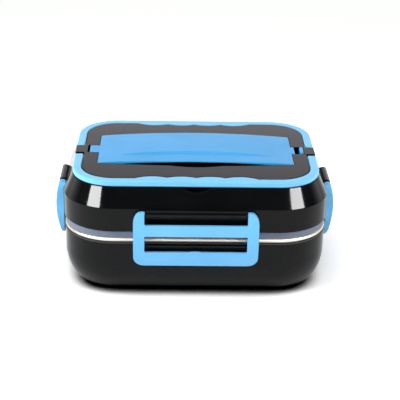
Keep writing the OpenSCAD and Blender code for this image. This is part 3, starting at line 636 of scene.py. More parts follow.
def strip_tree():
    """Rounded strip that runs round the plan: seals and lips."""
    t = Tree("strip round the plan", Length=200.0, Depth=150.0, Corner=30.0, Width=4.0, Height=4.0,
             Rounding=0.5, Centre=50.0, Finish=BLACK)

    def rounded(width, height, corner, steps):
        sizes = {"Width": t.get(width), "Height": t.get(height)}
        sharp = t.node("GeometryNodeCurvePrimitiveQuadrilateral", {"mode": "RECTANGLE"}, sizes)
        corners = {"Curve": sharp, "Radius": t.get(corner), "Count": steps, "Limit Radius": True}
        return t.node("GeometryNodeFilletCurve", {"mode": "POLY"}, corners)

    path = rounded("Length", "Depth", "Corner", CORNER_STEPS + 4)
    section = rounded("Width", "Height", "Rounding", 4)
    inputs = {"Curve": path, "Profile Curve": section, "Fill Caps": False}
    return t.done(t.raised(t.node("GeometryNodeCurveToMesh", {}, inputs), "Centre"))


def scatter_tree():
    """Copies of one small piece on the points of a mesh."""
    t = Tree("pieces on points", Piece=None, Height=0.0, Finish=BLACK)
    face = t.group.interface
    face.new_socket("Points", in_out="INPUT", socket_type="NodeSocketGeometry")
    face.move(face.items_tree["Points"], 0)
    piece = {"Object": t.get("Piece"), "As Instance": True}
    info = t.node("GeometryNodeObjectInfo", {}, piece, "Geometry")
    copies = t.node("GeometryNodeInstanceOnPoints", {}, {"Points": t.get("Points"), "Instance": info})
    return t.done(t.raised(copies, "Height"))


STRIP = strip_tree()
SCATTER = scatter_tree()


def scattered(name, piece, spots, height, material):
    """Scratch object with a copy of a scratch piece at each (x, y) spot, at one height."""
    points = bpy.data.meshes.new(name)
    points.from_pydata([(x, y, 0) for x, y in spots], [], [])
    obj = grow(name, SCATTER, points, Piece=piece, Height=float(height), Finish=material)
    discard(piece)
    return obj


def round_strip(name, inset_out, inset_in, low, high, rounding, material):
    """Strip round the plan between two insets and two levels."""
    middle = (inset_out + inset_in) / 2
    return grow(
        name, STRIP, Length=2 * (HALF_X - middle), Depth=2 * (HALF_Y - middle),
        Corner=CORNER - middle, Width=inset_in - inset_out, Height=high - low, Rounding=rounding,
        Centre=(low + high) / 2, Finish=material
    )


# ---------------------------------------------------------------- shared shapes


def dressed(node, name, body, material, slot, width=0.25, segments=2):
    """A CAD node's own shape with softened edges."""
    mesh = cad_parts[node].data.copy()
    mesh.transform(Matrix.Scale(1 / MM, 4))
    obj = link(name, mesh)
    soften(obj, width, segments)
    return finish(obj, name, body, material, slot, node)


def set_finish(node, material):
    """Puts another material on a CAD node that is shown as it stands."""
    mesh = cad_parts[node].data
    for i in range(len(mesh.materials)):
        mesh.materials[i] = material


def side_place(side):
    """Turns what is modelled on the front face of the band to one of the four sides."""
    reach = HALF_Y if side % 2 == 0 else HALF_X
    return Matrix.Rotation(side * math.pi / 2, 4, "Z") @ Matrix.Translation((0, -reach, 0))


SIDES = ("front", "right", "rear", "left")


def side_width(side):
    """Width of the latch on one side; the front and rear ones are long."""
    return (latch_high.x if side % 2 == 0 else side_latch_high.y) * 2


def slot_half(side):
    """Half the distance between the two rails of a latch."""
    return side_width(side) / 2 - (LONG_RAIL if side % 2 == 0 else SHORT_RAIL)


def hinge_ends(side, reach):
    """Two points on the hinge line of a latch, at the same distance either side of its middle."""
    return [side_place(side) @ Vector((s * reach, -HINGE_OUT, HINGE_Z)) for s in (-1, 1)]


def bow(z):
    """How far the bowed face of a latch stands out from the band at height z."""
    return BELLY_OUT - BELLY_R + math.sqrt(BELLY_R**2 - (z - BELLY_Z) ** 2)


# ---------------------------------------------------------------- base


def turn_point(angle, thick):
    """(inset, z) point of the round turn, at an angle below its widest level."""
    a = math.radians(angle)
    z = FLOOR_Z + TURN_HEIGHT - (TURN_HEIGHT - thick) * math.sin(a)
    return Vector((TURN_INSET - (BASE_TURN - thick) * math.cos(a), z))


def base_section():
    """(inset, z) section of the base, with the rebate that the base plate lies in."""
    outer_steps, inner_steps = 30, 20
    rebate, shelf, thick = TURN_INSET + 1.8, TURN_INSET + 6, 3.6
    under = FLOOR_Z + 2.1
    outer = [turn_point(90 - 90 * k / outer_steps, 0) for k in range(outer_steps + 1)]
    top = [(BASE_INSET, BASE_TOP), (BASE_INSET + SHELL_WALL, BASE_TOP)]
    inner = [turn_point(90 * k / inner_steps, SHELL_WALL) for k in range(inner_steps)]
    floor = [(TURN_INSET, FLOOR_Z + thick), (shelf, FLOOR_Z + thick), (shelf, under), (rebate, under),
             (rebate, FLOOR_Z)]
    return outer + [Vector(p) for p in top] + inner + [Vector(p) for p in floor]


def make_base():
    inlet_low, inlet_high = box_mm("power_inlet")
    lens_low, lens_high = box_mm("indicator_lens")
    shell = scratch(lambda bm: add_swept(bm, base_section()))

    # Flat pad at the rear round the inlet and the lens
    face = inlet_high.y
    margin, below, above, depth = 2.6, 0.8, 1.8, 4.4
    x_low, z_low = inlet_low.x - margin, inlet_low.z - below
    x_high, z_high = lens_high.x + margin, inlet_high.z + above
    pad = scratch(lambda bm: add_box(bm, (x_low, face - depth, z_low), (x_high, face, z_high)))
    combine(shell, pad, "UNION")
    carve(shell, lambda bm: add_box(bm, (x_low, face, z_low), (x_high, face + 3, z_high)))

    def openings(bm):
        gap, through = 0.2, 14
        add_box(bm, (inlet_low.x - gap, face - through, inlet_low.z - gap),
                (inlet_high.x + gap, face + 1, inlet_high.z + gap))
        x, z = (lens_low.x + lens_high.x) / 2, (lens_low.z + lens_high.z) / 2
        r = (lens_high.x - lens_low.x) / 2 + gap
        add_rod(bm, (x, face - through, z), (x, face + 2, z), r, 0)

    carve(shell, openings)
    soften(shell, 0.25, 3)

    def ribs(bm):
        sunk, proud = 1.2, 1.5
        for side in range(4):
            half = slot_half(side) - 1
            add_box(bm, (-half, -proud, NUB_TOP + NUB_GAP), (half, sunk, BASE_TOP), side_place(side))

    catches = scratch(ribs)
    soften(catches, 0.25, 3)
    finish(merge("base", shell, catches), "base_shell_gloss", "base", BLACK, "black_shell", "base_shell")


def make_feet():
    """Round feet with a groove in the tread and a neck that plugs into the base."""
    outer, neck, axis = (foot_high.x - foot_low.x) / 2, 2.5, 0.01
    groove_in, groove_out, deep = outer - 2.9, outer - 1.4, 0.5
    tread = [(axis, 0), (groove_in - 0.3, 0), (groove_in, deep), (groove_out, deep), (groove_out + 0.3, 0)]
    side = [(outer - 0.5, 0), (outer, 0.5), (outer, FLOOR_Z)]
    run = tread + side + [(neck, FLOOR_Z), (neck, foot_high.z), (axis, foot_high.z)]
    piece = scratch(lambda bm: loft(bm, [[Vector((*p, z)) for p in circle(r, 48)] for r, z in run]))
    soften(piece, 0.25)
    spot = (foot_low + foot_high) / 2
    spots = [(sx * abs(spot.x), sy * abs(spot.y)) for sx in (-1, 1) for sy in (-1, 1)]
    feet = scattered("feet", piece, spots, 0, FOOT_RUBBER)
    finish(feet, "rubber_feet", "base", FOOT_RUBBER, "foot_rubber", "foot_front_left", "foot_front_right",
           "foot_rear_left", "foot_rear_right")


def make_screws():
    """Cross-recessed screws that hold the base plate."""
    low, high = box_mm("base_screws")
    head_r, head_height, shank_r = 2.8, 1.4, 1.4
    x, y = high.x - head_r, high.y - head_r

    def screw(bm):
        add_rod(bm, (0, 0, 0), (0, 0, head_height), head_r, 0.35)
        add_rod(bm, (0, 0, 1.2), (0, 0, high.z - low.z), shank_r, 0.2)

    def recess(bm):
        reach, half, deep = 1.6, 0.3, 0.9
        add_box(bm, (-reach, -half, -1), (reach, half, deep))
        add_box(bm, (-half, -reach, -1), (half, reach, deep))

    piece = scratch(screw)
    carve(piece, recess)
    spots = [(sx * x / 2, sy * y) for sx in (-1, 1) for sy in (-1, 1)] + [(-x, 0), (x, 0)]
    screws = scattered("screws", piece, spots, low.z, PIN_STEEL)
    finish(screws, "base_screws_steel", "base", PIN_STEEL, "clamp_steel", "base_screws")


def make_underside():
    dressed("base_plate", "base_plate_grain", "base", GRAIN_BLACK, "black_plain", 0.3)
    make_feet()
    make_screws()


def make_base_inside():
    """Liner, heater, thermostat, fuse, inlet, lamp and wiring."""
    for node, name, material, slot, width, segments in (
        ("inner_liner", "inner_liner_satin", LINER_BLACK, "liner_plastic", 0.35, 3),
        ("heater_plate", "heater_plate_aluminium", ALUMINIUM, "plate_aluminium", 0.3, 2),
        ("element_left", "element_left_sleeve", ALUMINIUM, "plate_aluminium", 0.5, 3),
        ("element_right", "element_right_sleeve", ALUMINIUM, "plate_aluminium", 0.5, 3),
        ("element_clamp", "element_clamp_strip", PIN_STEEL, "clamp_steel", 0.2, 2),
        ("thermostat", "thermostat_can", CAN_METAL, "thermostat_can", 0.3, 2),
        ("thermal_fuse", "thermal_fuse_body", FUSE_COAT, "fuse_body", 0.15, 2),
        ("power_inlet", "power_inlet_socket", GRAIN_BLACK, "black_plain", 0.3, 2),
        ("inlet_contacts", "inlet_contact_pins", PLATED, "contact_metal", 0.35, 3),
        ("indicator_lens", "indicator_lens_red", LENS_RED, "lens_red", 0.4, 3),
    ):
        dressed(node, name, "base", material, slot, width, segments)
    set_finish("indicator_lamp", LAMP_GLASS)
    for node in ("live_wire", "link_wire", "element_leads"):
        set_finish(node, WIRE_RED)
    set_finish("neutral_leads", WIRE_BLUE)


# ---------------------------------------------------------------- tray


def make_tray():
    """Drawn tray: floor, round turn, wall, flange and the bead rolled round its edge."""
    steel, bead_r, turn = 0.8, 1.65, 8.0
    outer, middle, depth = 8.2, 30.0, 8.0
    inner, floor = outer + steel, tray_low.z
    under = RIM_TOP - steel
    bead = (BEAD_INSET + bead_r, RIM_TOP - bead_r)
    lift = math.degrees(math.asin((bead_r - steel) / bead_r))
    section = [Vector((middle, floor))]
    section += arc((outer + turn, floor + turn), turn, 270, 180, 10)
    flange_under = [(outer, RIM_TOP - depth), (outer, under), (outer - 3, under)]
    section += fillet(flange_under, (0, 0.8, 0), 4)[1:-1]
    section += arc(bead, bead_r, lift, -270, 22)
    flange_top = [(bead[0], RIM_TOP), (inner, RIM_TOP), (inner, RIM_TOP - depth)]
    section += fillet(flange_top, (0, 1.6, 0))[1:-1]
    section += arc((inner + turn - steel, floor + turn), turn - steel, 180, 270, 10)
    section += [Vector((middle, floor + steel))]
    tray = scratch(lambda bm: add_swept(bm, section, False))
    finish(tray, "tray_steel_body", "tray", RIM_STEEL, "tray_steel", "food_tray", sharp=50)


# ---------------------------------------------------------------- lid


def skirt_section():
    """(inset, z) section of the band, the leaning skirt and the seat of the handles."""
    under, end = SEAT_Z - SHELL_WALL, DECK_INSET + 3
    run = [(0, BAND_BOTTOM), (0, BAND_TOP), (SKIRT_LEAN, SEAT_Z), (end, SEAT_Z), (end, under),
           (SKIRT_LEAN + SHELL_WALL, under), (SHELL_WALL, BAND_TOP), (SHELL_WALL, BAND_BOTTOM)]
    return fillet(run, (0.5, 1.6, 0.7, 0, 0, 1.5, 1.5, 0.3), 5)


def wave_offset(x):
    """Distance along the grip from x to the middle of the nearest finger wave."""
    middles = [(i - (WAVES - 1) / 2) * WAVE_PITCH for i in range(WAVES)]
    return x - min(middles, key=lambda middle: abs(x - middle))


def deck_outline():
    """Edge of the deck, anticlockwise from the right-hand tab."""
    tab_x = HALF_X - RING_INSET
    corner = CORNER - DECK_INSET
    cx, cy = HALF_X - CORNER, HALF_Y - CORNER
    r, sink = WAVE_R + DECK_GAP, WAVE_SINK + DECK_GAP
    wave_end = math.sqrt(r**2 - sink**2) + WAVE_PITCH * (WAVES - 1) / 2
    half = [Vector((tab_x, TAB_HALF)), Vector((DECK_HALF_X, TAB_HALF))]
    half += arc((cx, cy), corner, 0, 90, CORNER_STEPS)
    steps = 120
    for k in range(steps + 1):
        x = wave_end * (1 - 2 * k / steps)
        wave = math.sqrt(r**2 - wave_offset(x) ** 2) - WAVE_SINK
        half.append(Vector((x, GRIP_INNER - max(DECK_GAP, wave))))
    half += arc((-cx, cy), corner, 90, 180, CORNER_STEPS)
    half += [Vector((-DECK_HALF_X, TAB_HALF)), Vector((-tab_x, TAB_HALF))]
    return half + [-p for p in half]


def notch(bm, rear):
    """Round finger notch under a grip."""
    r = ((NOTCH_WIDTH / 2) ** 2 + NOTCH_DEPTH**2) / (2 * NOTCH_DEPTH)
    half = math.degrees(math.asin(NOTCH_WIDTH / 2 / r)) + 12
    bowl = arc((0, SEAT_Z - NOTCH_DEPTH + r), r, 270 - half, 270 + half, 28)
    place = Matrix.Translation((0, SKIRT_LEAN - HALF_Y + NOTCH_REACH, 0))
    if rear:
        place = Matrix.Rotation(math.pi, 4, "Z") @ place
    loft(bm, [[place @ Vector((p.x, y, p.y)) for p in bowl] for y in (-16, 0)])


def make_skirt():
    skirt = scratch(lambda bm: add_swept(bm, skirt_section()))
    edge, sunk = HALF_Y - SKIRT_LEAN, 0.6
    for rear in (False, True):
        y = sorted((1 if rear else -1) * v for v in (edge - sunk, edge - NOTCH_REACH - 2))
        low = (-NOTCH_BACK_HALF, y[0], SEAT_Z - NOTCH_DEPTH - 3)
        high = (NOTCH_BACK_HALF, y[1], SEAT_Z - 0.4)
        combine(skirt, scratch(lambda bm: add_box(bm, low, high)), "UNION")
        carve(skirt, lambda bm: notch(bm, rear))
    soften(skirt, 0.5, 3)
    finish(skirt, "lid_skirt_gloss", "lid", BLACK, "black_shell", "lid_shell")


def make_deck():
    """Deck with the cutlery tub, the wells of clip and tongue, and the hinge barrels of the latches."""
    wall, above = SHELL_WALL, DECK_Z + 1
    deck = scratch(lambda bm: add_prism(bm, deck_outline(), SEAT_Z - wall + 0.1, DECK_Z))

    # Tub and clip well hang under the deck, then everything is hollowed from above
    x, y = COVER_HALF_X - LEDGE, COVER_HALF_Y - LEDGE
    tub_x, tub_y = x + wall, y + wall
    plan = fillet([(tub_x, -tub_y), (tub_x, tub_y), (-tub_x, tub_y), (-tub_x, -tub_y)], (5,) * 4)
    combine(deck, scratch(lambda bm: add_prism(bm, plan, POCKET_Z - wall, DECK_Z - 1)), "UNION")
    tongue = TAB_HALF + COVER_GAP
    well_low = (x, -tongue - 2, DECK_Z - CLIP_SLOT_DEPTH - wall)
    well_high = (DECK_HALF_X - 0.1, tongue + 2, DECK_Z - 1)
    combine(deck, scratch(lambda bm: add_box(bm, well_low, well_high)), "UNION")
    seat_x, seat_y = COVER_HALF_X + COVER_GAP, COVER_HALF_Y + COVER_GAP
    for low, high in (
        ((-x, -y, POCKET_Z), (x, y, above)),
        ((-seat_x, -seat_y, LEDGE_Z), (seat_x, seat_y, above)),
        ((cover_low.x - 2, -tongue, DECK_Z - TONGUE_SLOT_DEPTH), (-x - 1, tongue, above)),
        ((x + 1, -tongue, DECK_Z - CLIP_SLOT_DEPTH), (CLIP_SLOT_X, tongue, above)),
    ):
        carve(deck, lambda bm: add_box(bm, low, high))
    relief = crescent(2 * COVER_HALF_X, RELIEF_REACH)
    carve(deck, lambda bm: add_prism(bm, relief, DECK_Z - RELIEF_DEPTH, above))
    carve(deck, finger_scoop)
    carve(deck, lambda bm: trunnion_rod(bm, tongue + TRUNNION_END + 0.1, TRUNNION_R + TRUNNION_GAP, 0))
    for sx in (-1, 1):
        for sy in (-1, 1):
            ends = [(sx * (DECK_HALF_X + v), sy * abs(PIVOT_Y), PIVOT_Z) for v in (-5.1, 2)]
            carve(deck, lambda bm: add_rod(bm, *ends, PIN_HOLE_R, 0))
    soften(deck, 0.45, 3)

    barrels = scratch(hinge_barrels)
    for side in range(4):
        ends = hinge_ends(side, side_width(side) / 2)
        carve(barrels, lambda bm: add_rod(bm, *ends, PIN_HOLE_R, 0))
    soften(barrels, 0.35, 3)
    finish(merge("lid", deck, barrels), "lid_deck_gloss", "lid", BLACK, "black_shell", "lid_shell")


def trunnion_rod(bm, reach, r, chamfer):
    """Rod on the hinge line of the cover."""
    add_rod(bm, (TRUNNION_X, -reach, TRUNNION_Z), (TRUNNION_X, reach, TRUNNION_Z), r, chamfer)


def crescent(width, reach):
    """Outline of a crescent that bulges from the front edge of the cover."""
    r = ((width / 2) ** 2 + reach**2) / (2 * reach)
    half = math.degrees(math.asin(width / 2 / r))
    outline = arc((0, r - COVER_HALF_Y - reach), r, 270 - half, 270 + half, 40)
    return outline + [outline[i] + Vector((0, 1)) for i in (-1, 0)]


def finger_scoop(bm):
    """Scoop that slopes down from the crescent's front edge to the cover."""
    outline = crescent(CRESCENT_WIDTH, CRESCENT_REACH)
    slope = (CRESCENT_DEPTH - SCOOP_LIP) / CRESCENT_REACH
    front = -COVER_HALF_Y - CRESCENT_REACH
    low = [(p.x, p.y, DECK_Z - SCOOP_LIP - slope * (p.y - front)) for p in outline]
    loft(bm, [low, [(p.x, p.y, DECK_Z + 1) for p in outline]])


def hinge_barrels(bm):
    """Barrel and web of each latch hinge."""
    sunk = 0.5
    web_low, web_high = HINGE_Z - WEB_BELOW, HINGE_Z + WEB_ABOVE
    out_low, out_high = (math.sqrt(BARREL_R**2 - v**2) - HINGE_OUT for v in (WEB_BELOW, WEB_ABOVE))
    start, end = (math.degrees(math.asin(v / BARREL_R)) for v in (WEB_ABOVE, WEB_BELOW))
    outline = [Vector((sunk, web_high)), Vector((out_high, web_high))]
    outline += arc((-HINGE_OUT, HINGE_Z), BARREL_R, start, 360 - end, 28)[1:-1]
    outline += [Vector((out_low, web_low)), Vector((sunk, web_low))]
    for side in range(4):
        half, place = slot_half(side) - 0.4, side_place(side)
        loft(bm, [[place @ Vector((x, y, z)) for y, z in outline] for x in (-half, half)])


def make_seal():
    """Silicone seal: the lip that shows between lid and base, and the tongue in the lid's groove."""
    lip = round_strip("lip", SEAL_INSET, 8.6, seal_low.z, BAND_BOTTOM - 0.1, 0.7, SEAL_GREY)
    tongue = round_strip("tongue", 6.0, 7.3, BAND_BOTTOM - 0.6, seal_high.z, 0.3, SEAL_GREY)
    finish(merge("seal", lip, tongue), "lid_seal_silicone", "lid", SEAL_GREY, "seal_silicone", "lid_seal")


def make_lid_inside():
    dressed("lid_liner", "lid_liner_satin", "lid", LINER_BLACK, "liner_plastic", 0.3, 3)
    dressed("vent_plug", "vent_plug_silicone", "lid", SEAL_GREY, "seal_silicone", 0.5, 3)
    make_seal()
    for side, where in enumerate(SIDES):
        ends = hinge_ends(side, side_width(side) / 2 - PIN_WALL - 0.2)
        pin = scratch(lambda bm: add_rod(bm, *ends, PIN_R))
        finish(pin, f"{where}_latch_pin_steel", "lid", PIN_STEEL, "clamp_steel", f"{where}_latch_pin")
    for node in ("front_handle_pins", "rear_handle_pins"):
        dressed(node, f"{node}_steel", "lid", PIN_STEEL, "clamp_steel", 0.2)


# ---------------------------------------------------------------- latches


def latch_profile():
    """(y, z) outline of a latch: bowed front, rounded top and flat back."""
    low, knuckle = latch_low.z, latch_high.z - HINGE_Z
    steps = 30
    front = [Vector((-bow(z), z)) for z in (low + (HINGE_Z - low) * k / steps for k in range(steps + 1))]
    reach_in, reach_out = knuckle - HINGE_OUT, -bow(HINGE_Z)
    middle, half = (reach_in + reach_out) / 2, (reach_in - reach_out) / 2
    top = [Vector((middle + half * p.x, HINGE_Z + KNUCKLE_TOP * p.y)) for p in arc((0, 0), 1, 170, 0, 20)]
    back = math.degrees(math.acos((HINGE_OUT - LATCH_BACK) / knuckle))
    round_end = arc((-HINGE_OUT, HINGE_Z), knuckle, -8, -back, 8)
    return front + top + round_end + [Vector((-LATCH_BACK, low))]


def make_latch(side):
    reach, half = side_width(side) / 2, slot_half(side)
    low, top = latch_low.z, latch_high.z
    profile = latch_profile()
    body = scratch(lambda bm: loft(bm, [[Vector((x, p.x, p.y)) for p in profile] for x in (-reach, reach)]))

    # The face, seen from the front, is cut to its rounded outline
    crown, shoulder = HINGE_Z + KNUCKLE_TOP, reach - half - 0.1
    outline = fillet([(reach, low), (reach, crown), (-reach, crown), (-reach, low)],
                     (LATCH_CORNER, shoulder, shoulder, LATCH_CORNER), 10)
    upright = Matrix.Rotation(math.pi / 2, 4, "X")
    combine(body, scratch(lambda bm: add_prism(bm, outline, -1, 14, upright)), "INTERSECT")

    def hollow(bm):
        """Room behind the bars, between the rails."""
        steps, behind = 24, 9
        levels = [low + 2 + (top - low) * k / steps for k in range(steps + 1)]
        run = [Vector((BAR_THICK - bow(z), z)) for z in levels if bow(z) - BAR_THICK > LATCH_BACK - 0.4]
        run += [Vector((behind, run[-1].y)), Vector((behind, run[0].y))]
        loft(bm, [[Vector((x, p.x, p.y)) for p in run] for x in (-half, half)])

    carve(body, hollow)
    slot_top = SLOT_LOW + LATCH_SLOT
    gap_low = slot_top + UPPER_BAR
    for bottom, ceiling, upper_corner in ((SLOT_LOW, slot_top, SLOT_CORNER), (gap_low, top + 2, 0)):
        window = fillet([(half, bottom), (half, ceiling), (-half, ceiling), (-half, bottom)],
                        (SLOT_CORNER, upper_corner, upper_corner, SLOT_CORNER), 3)
        carve(body, lambda bm: add_prism(bm, window, -5, 20, upright))
    ends = [(s * (reach - PIN_WALL), -HINGE_OUT, HINGE_Z) for s in (-1, 1)]
    carve(body, lambda bm: add_rod(bm, *ends, PIN_HOLE_R, 0))
    soften(body, 0.45, 3)

    shelf = BAR_THICK / 2 - bow(NUB_TOP)
    nub_low = (2 - half, shelf, NUB_TOP - NUB_HEIGHT)
    nub = scratch(lambda bm: add_box(bm, nub_low, (half - 2, -NUB_GAP, NUB_TOP)))
    soften(nub, 0.3, 3)
    parts = [body, nub]
    if side % 2 == 0:
        face, gate_half = -bow(SLOT_LOW), 4.2
        gate_low = (-gate_half, face + 0.4, SLOT_LOW - 1)
        gate_high = (gate_half, face + 2.2, SLOT_LOW + 0.6)
        gate = scratch(lambda bm: add_box(bm, gate_low, gate_high))
        soften(gate, 0.5, 3)
        parts.append(gate)
    latch = merge("latch", *parts)
    latch.data.transform(side_place(side))
    node = f"{SIDES[side]}_latch"
    finish(latch, f"{node}_moulding", node, LATCH_BLUE, "latch_blue", node)


# ---------------------------------------------------------------- handles


def handle_stations():
    """(outer point, inward direction, width, half height) from the left arm to the right one."""
    half = (handle_high.z - handle_low.z) / 2
    outer_x, outer_y = HALF_X - RING_INSET, HALF_Y - RING_INSET
    r = CORNER - RING_INSET
    cx, cy = outer_x - r, outer_y - r
    pivot = abs(PIVOT_Y)

    # Round end of the arm, its straight run, then the corner
    arm = []
    for k in range(9):
        a = math.radians(88 * (1 - k / 8))
        arm.append((pivot - half * math.sin(a), half * math.cos(a)))
    arm += [(pivot + (cy - pivot) * k / 4, half) for k in range(1, 4)]
    left = [(Vector((-outer_x, -y)), Vector((1, 0)), HANDLE_WIDTH, h) for y, h in arm]
    for k in range(CORNER_STEPS + 1):
        a = math.radians(180 + 90 * k / CORNER_STEPS)
        out = Vector((math.cos(a), math.sin(a)))
        left.append((Vector((-cx, -cy)) + out * r, -out, HANDLE_WIDTH, half))

    half_span = (WAVES - 1) * WAVE_PITCH / 2 + math.sqrt(WAVE_R**2 - WAVE_SINK**2)
    grip = []
    steps = 24 * WAVES
    for k in range(steps + 1):
        x = -half_span + 2 * half_span * k / steps
        rise = math.sqrt(WAVE_R**2 - wave_offset(x) ** 2) - WAVE_SINK
        grip.append((Vector((x, -outer_y)), Vector((0, 1)), HANDLE_WIDTH + max(0, rise), half))
    right = [(Vector((-p.x, p.y)), Vector((-d.x, d.y)), w, h) for p, d, w, h in reversed(left)]
    return left + grip + right


def make_handle(node):
    middle = (handle_low.z + handle_high.z) / 2
    rounding, wall = 1.3, 1.6
    rings = []
    for point, inward, width, half in handle_stations():
        r = min(rounding, half * 0.8)
        section = fillet([(0, -half), (width, -half), (width, half), (0, half)], (r,) * 4)
        rings.append([(*(point + inward * p.x), middle + p.y) for p in section])
    handle = scratch(lambda bm: loft(bm, rings))
    arm_x = HALF_X - RING_INSET - HANDLE_WIDTH
    for s in (-1, 1):
        ends = [(s * x, -abs(PIVOT_Y), PIVOT_Z) for x in (arm_x - 1, arm_x + HANDLE_WIDTH - wall)]
        carve(handle, lambda bm: add_rod(bm, *ends, PIN_HOLE_R, 0))
    if node == "rear_handle":
        handle.data.transform(Matrix.Rotation(math.pi, 4, "Z"))
    finish(handle, f"{node}_moulding", node, HANDLE_BLUE, "handle_blue", node, sharp=50)


# ---------------------------------------------------------------- cutlery cover


def cover_rise(x):
    """Height of the cover's arch above its ends."""
    return math.sqrt(COVER_R**2 - x * x) - (COVER_R - COVER_ARCH)


def cover_top(x, y):
    """Height of the top of the cover: the arch, its softened edge and the step down along the front."""
    edge = COVER_EDGE
    near = min(COVER_HALF_X - abs(x), COVER_HALF_Y - abs(y))
    drop = edge - math.sqrt(edge**2 - (edge - min(near, edge)) ** 2)
    across = abs(x) / CREASE_HALF
    crease_y = CREASE_Y - CREASE_BOW * across**2
    fade = max(0, 1 - across**2.5)
    step = min(1, max(0, (crease_y - y + 0.6) / STEP_RUN))
    return DECK_Z + cover_rise(x) - drop - STEP_DOWN * fade * step * step * (3 - 2 * step)


def spaced(half, steps):
    """Grid places from -half to half, closer together in the softened edge."""
    inside = half - COVER_EDGE
    rim = [half - COVER_EDGE * (1 - math.cos(math.radians(90 * k / 5))) for k in range(6)]
    inner = [-inside + 2 * inside * k / steps for k in range(1, steps)]
    return [-v for v in rim] + inner + rim[::-1]


def cover_plate(bm):
    xs, ys = spaced(COVER_HALF_X, 108), spaced(COVER_HALF_Y, 72)
    last_x, last_y = len(xs) - 1, len(ys) - 1
    top = [[bm.verts.new((x, y, cover_top(x, y))) for x in xs] for y in ys]
    low = [[bm.verts.new((x, y, DECK_Z - COVER_THICK + cover_rise(x))) for x in xs] for y in ys]
    for j in range(last_y):
        for i in range(last_x):
            bm.faces.new((top[j][i], top[j][i + 1], top[j + 1][i + 1], top[j + 1][i]))
            bm.faces.new((low[j][i], low[j + 1][i], low[j + 1][i + 1], low[j][i + 1]))
    edge = [(0, i) for i in range(last_x)] + [(j, last_x) for j in range(last_y)]
    edge += [(last_y, i) for i in range(last_x, 0, -1)] + [(j, 0) for j in range(last_y, 0, -1)]
    for (j0, i0), (j1, i1) in zip(edge, edge[1:] + edge[:1]):
        bm.faces.new((low[j0][i0], low[j1][i1], top[j1][i1], top[j0][i0]))


def make_cover():
    """Cover plate with its hinge tongue at the left and the springs that carry the clip at the right."""
    under, overlap = DECK_Z - COVER_THICK, 0.8
    arm_x, arm = clip_low.x - 6.3, 1.8
    foot_low, foot = CLIP_ROOT_Z - 2.3, 2.0

    def left_tongue(bm):
        add_box(bm, (cover_low.x, -TAB_HALF, under), (overlap - COVER_HALF_X, TAB_HALF, DECK_Z))

    def right_tongue(bm):
        add_box(bm, (COVER_HALF_X - overlap, -TAB_HALF, under), (arm_x + arm, TAB_HALF, DECK_Z))

    def spring(bm):
        outer = [(arm_x, DECK_Z - 1), (arm_x, foot_low), (CLIP_ROOT_X, foot_low)]
        inside, foot_top = arm_x + arm, foot_low + foot
        inner = [(CLIP_ROOT_X, foot_top), (inside, foot_top), (inside, DECK_Z - 1)]
        outline = fillet(outer + inner, (0, 1.8, 0, 0, 0.9, 0), 6)
        loft(bm, [[Vector((p.x, y, p.y)) for p in outline] for y in (clip_low.y, clip_high.y)])

    def clip_root(bm):
        r = CLIP_ROOT_R + 0.06
        add_rod(bm, (CLIP_ROOT_X, -10, CLIP_ROOT_Z), (CLIP_ROOT_X, 10, CLIP_ROOT_Z), r, 0)

    parts = [scratch(cover_plate), scratch(spring)]
    carve(parts[1], clip_root)
    for fill in (left_tongue, right_tongue):
        tongue = scratch(fill)
        soften(tongue, 0.6, 4)
        parts.append(tongue)
    parts.append(scratch(lambda bm: trunnion_rod(bm, TAB_HALF + TRUNNION_END, TRUNNION_R, 0.2)))
    finish(merge("cover", *parts), "cutlery_cover_moulding", "cover", COVER_BLUE, "cover_blue",
           "cutlery_cover", sharp=42)


def make_clip():
    """Upright finger that the thumb presses, and the wedge that catches under the deck."""
    x = CLIP_ROOT_X
    outline = arc((x, clip_high.z - CLIP_HALF), CLIP_HALF, 0, 180, 14)
    outline += arc((x, CLIP_ROOT_Z), CLIP_ROOT_R, 180, 360, 14)

    def finger(bm):
        loft(bm, [[Vector((p.x, y, p.y)) for p in outline] for y in (clip_low.y, clip_high.y)])

    def catch(bm):
        high, low, half_width = DECK_Z - 2.9, DECK_Z - 4.2, 5
        tip, top = clip_high.x, x + CLIP_HALF - 0.2
        wedge = [(x, low), (tip, low), (tip, low + 0.5), (top, high), (x, high)]
        loft(bm, [[Vector((px, y, pz)) for px, pz in wedge] for y in (-half_width, half_width)])

    piece = scratch(finger)
    soften(piece, 0.6, 4, 50)
    finish(merge("clip", piece, scratch(catch)), "cover_clip_moulding", "clip", COVER_BLUE, "cover_blue",
           "cover_clip", sharp=40)


# ---------------------------------------------------------------- cutlery


def blend_between(stops, t):
    """Smooth value at t from (t, value) stops."""
    for (t0, v0), (t1, v1) in zip(stops, stops[1:]):
        if t <= t1:
            k = (t - t0) / (t1 - t0)
            k = k * k * (3 - 2 * k)
            return v0 + (v1 - v0) * k
    return stops[-1][1]


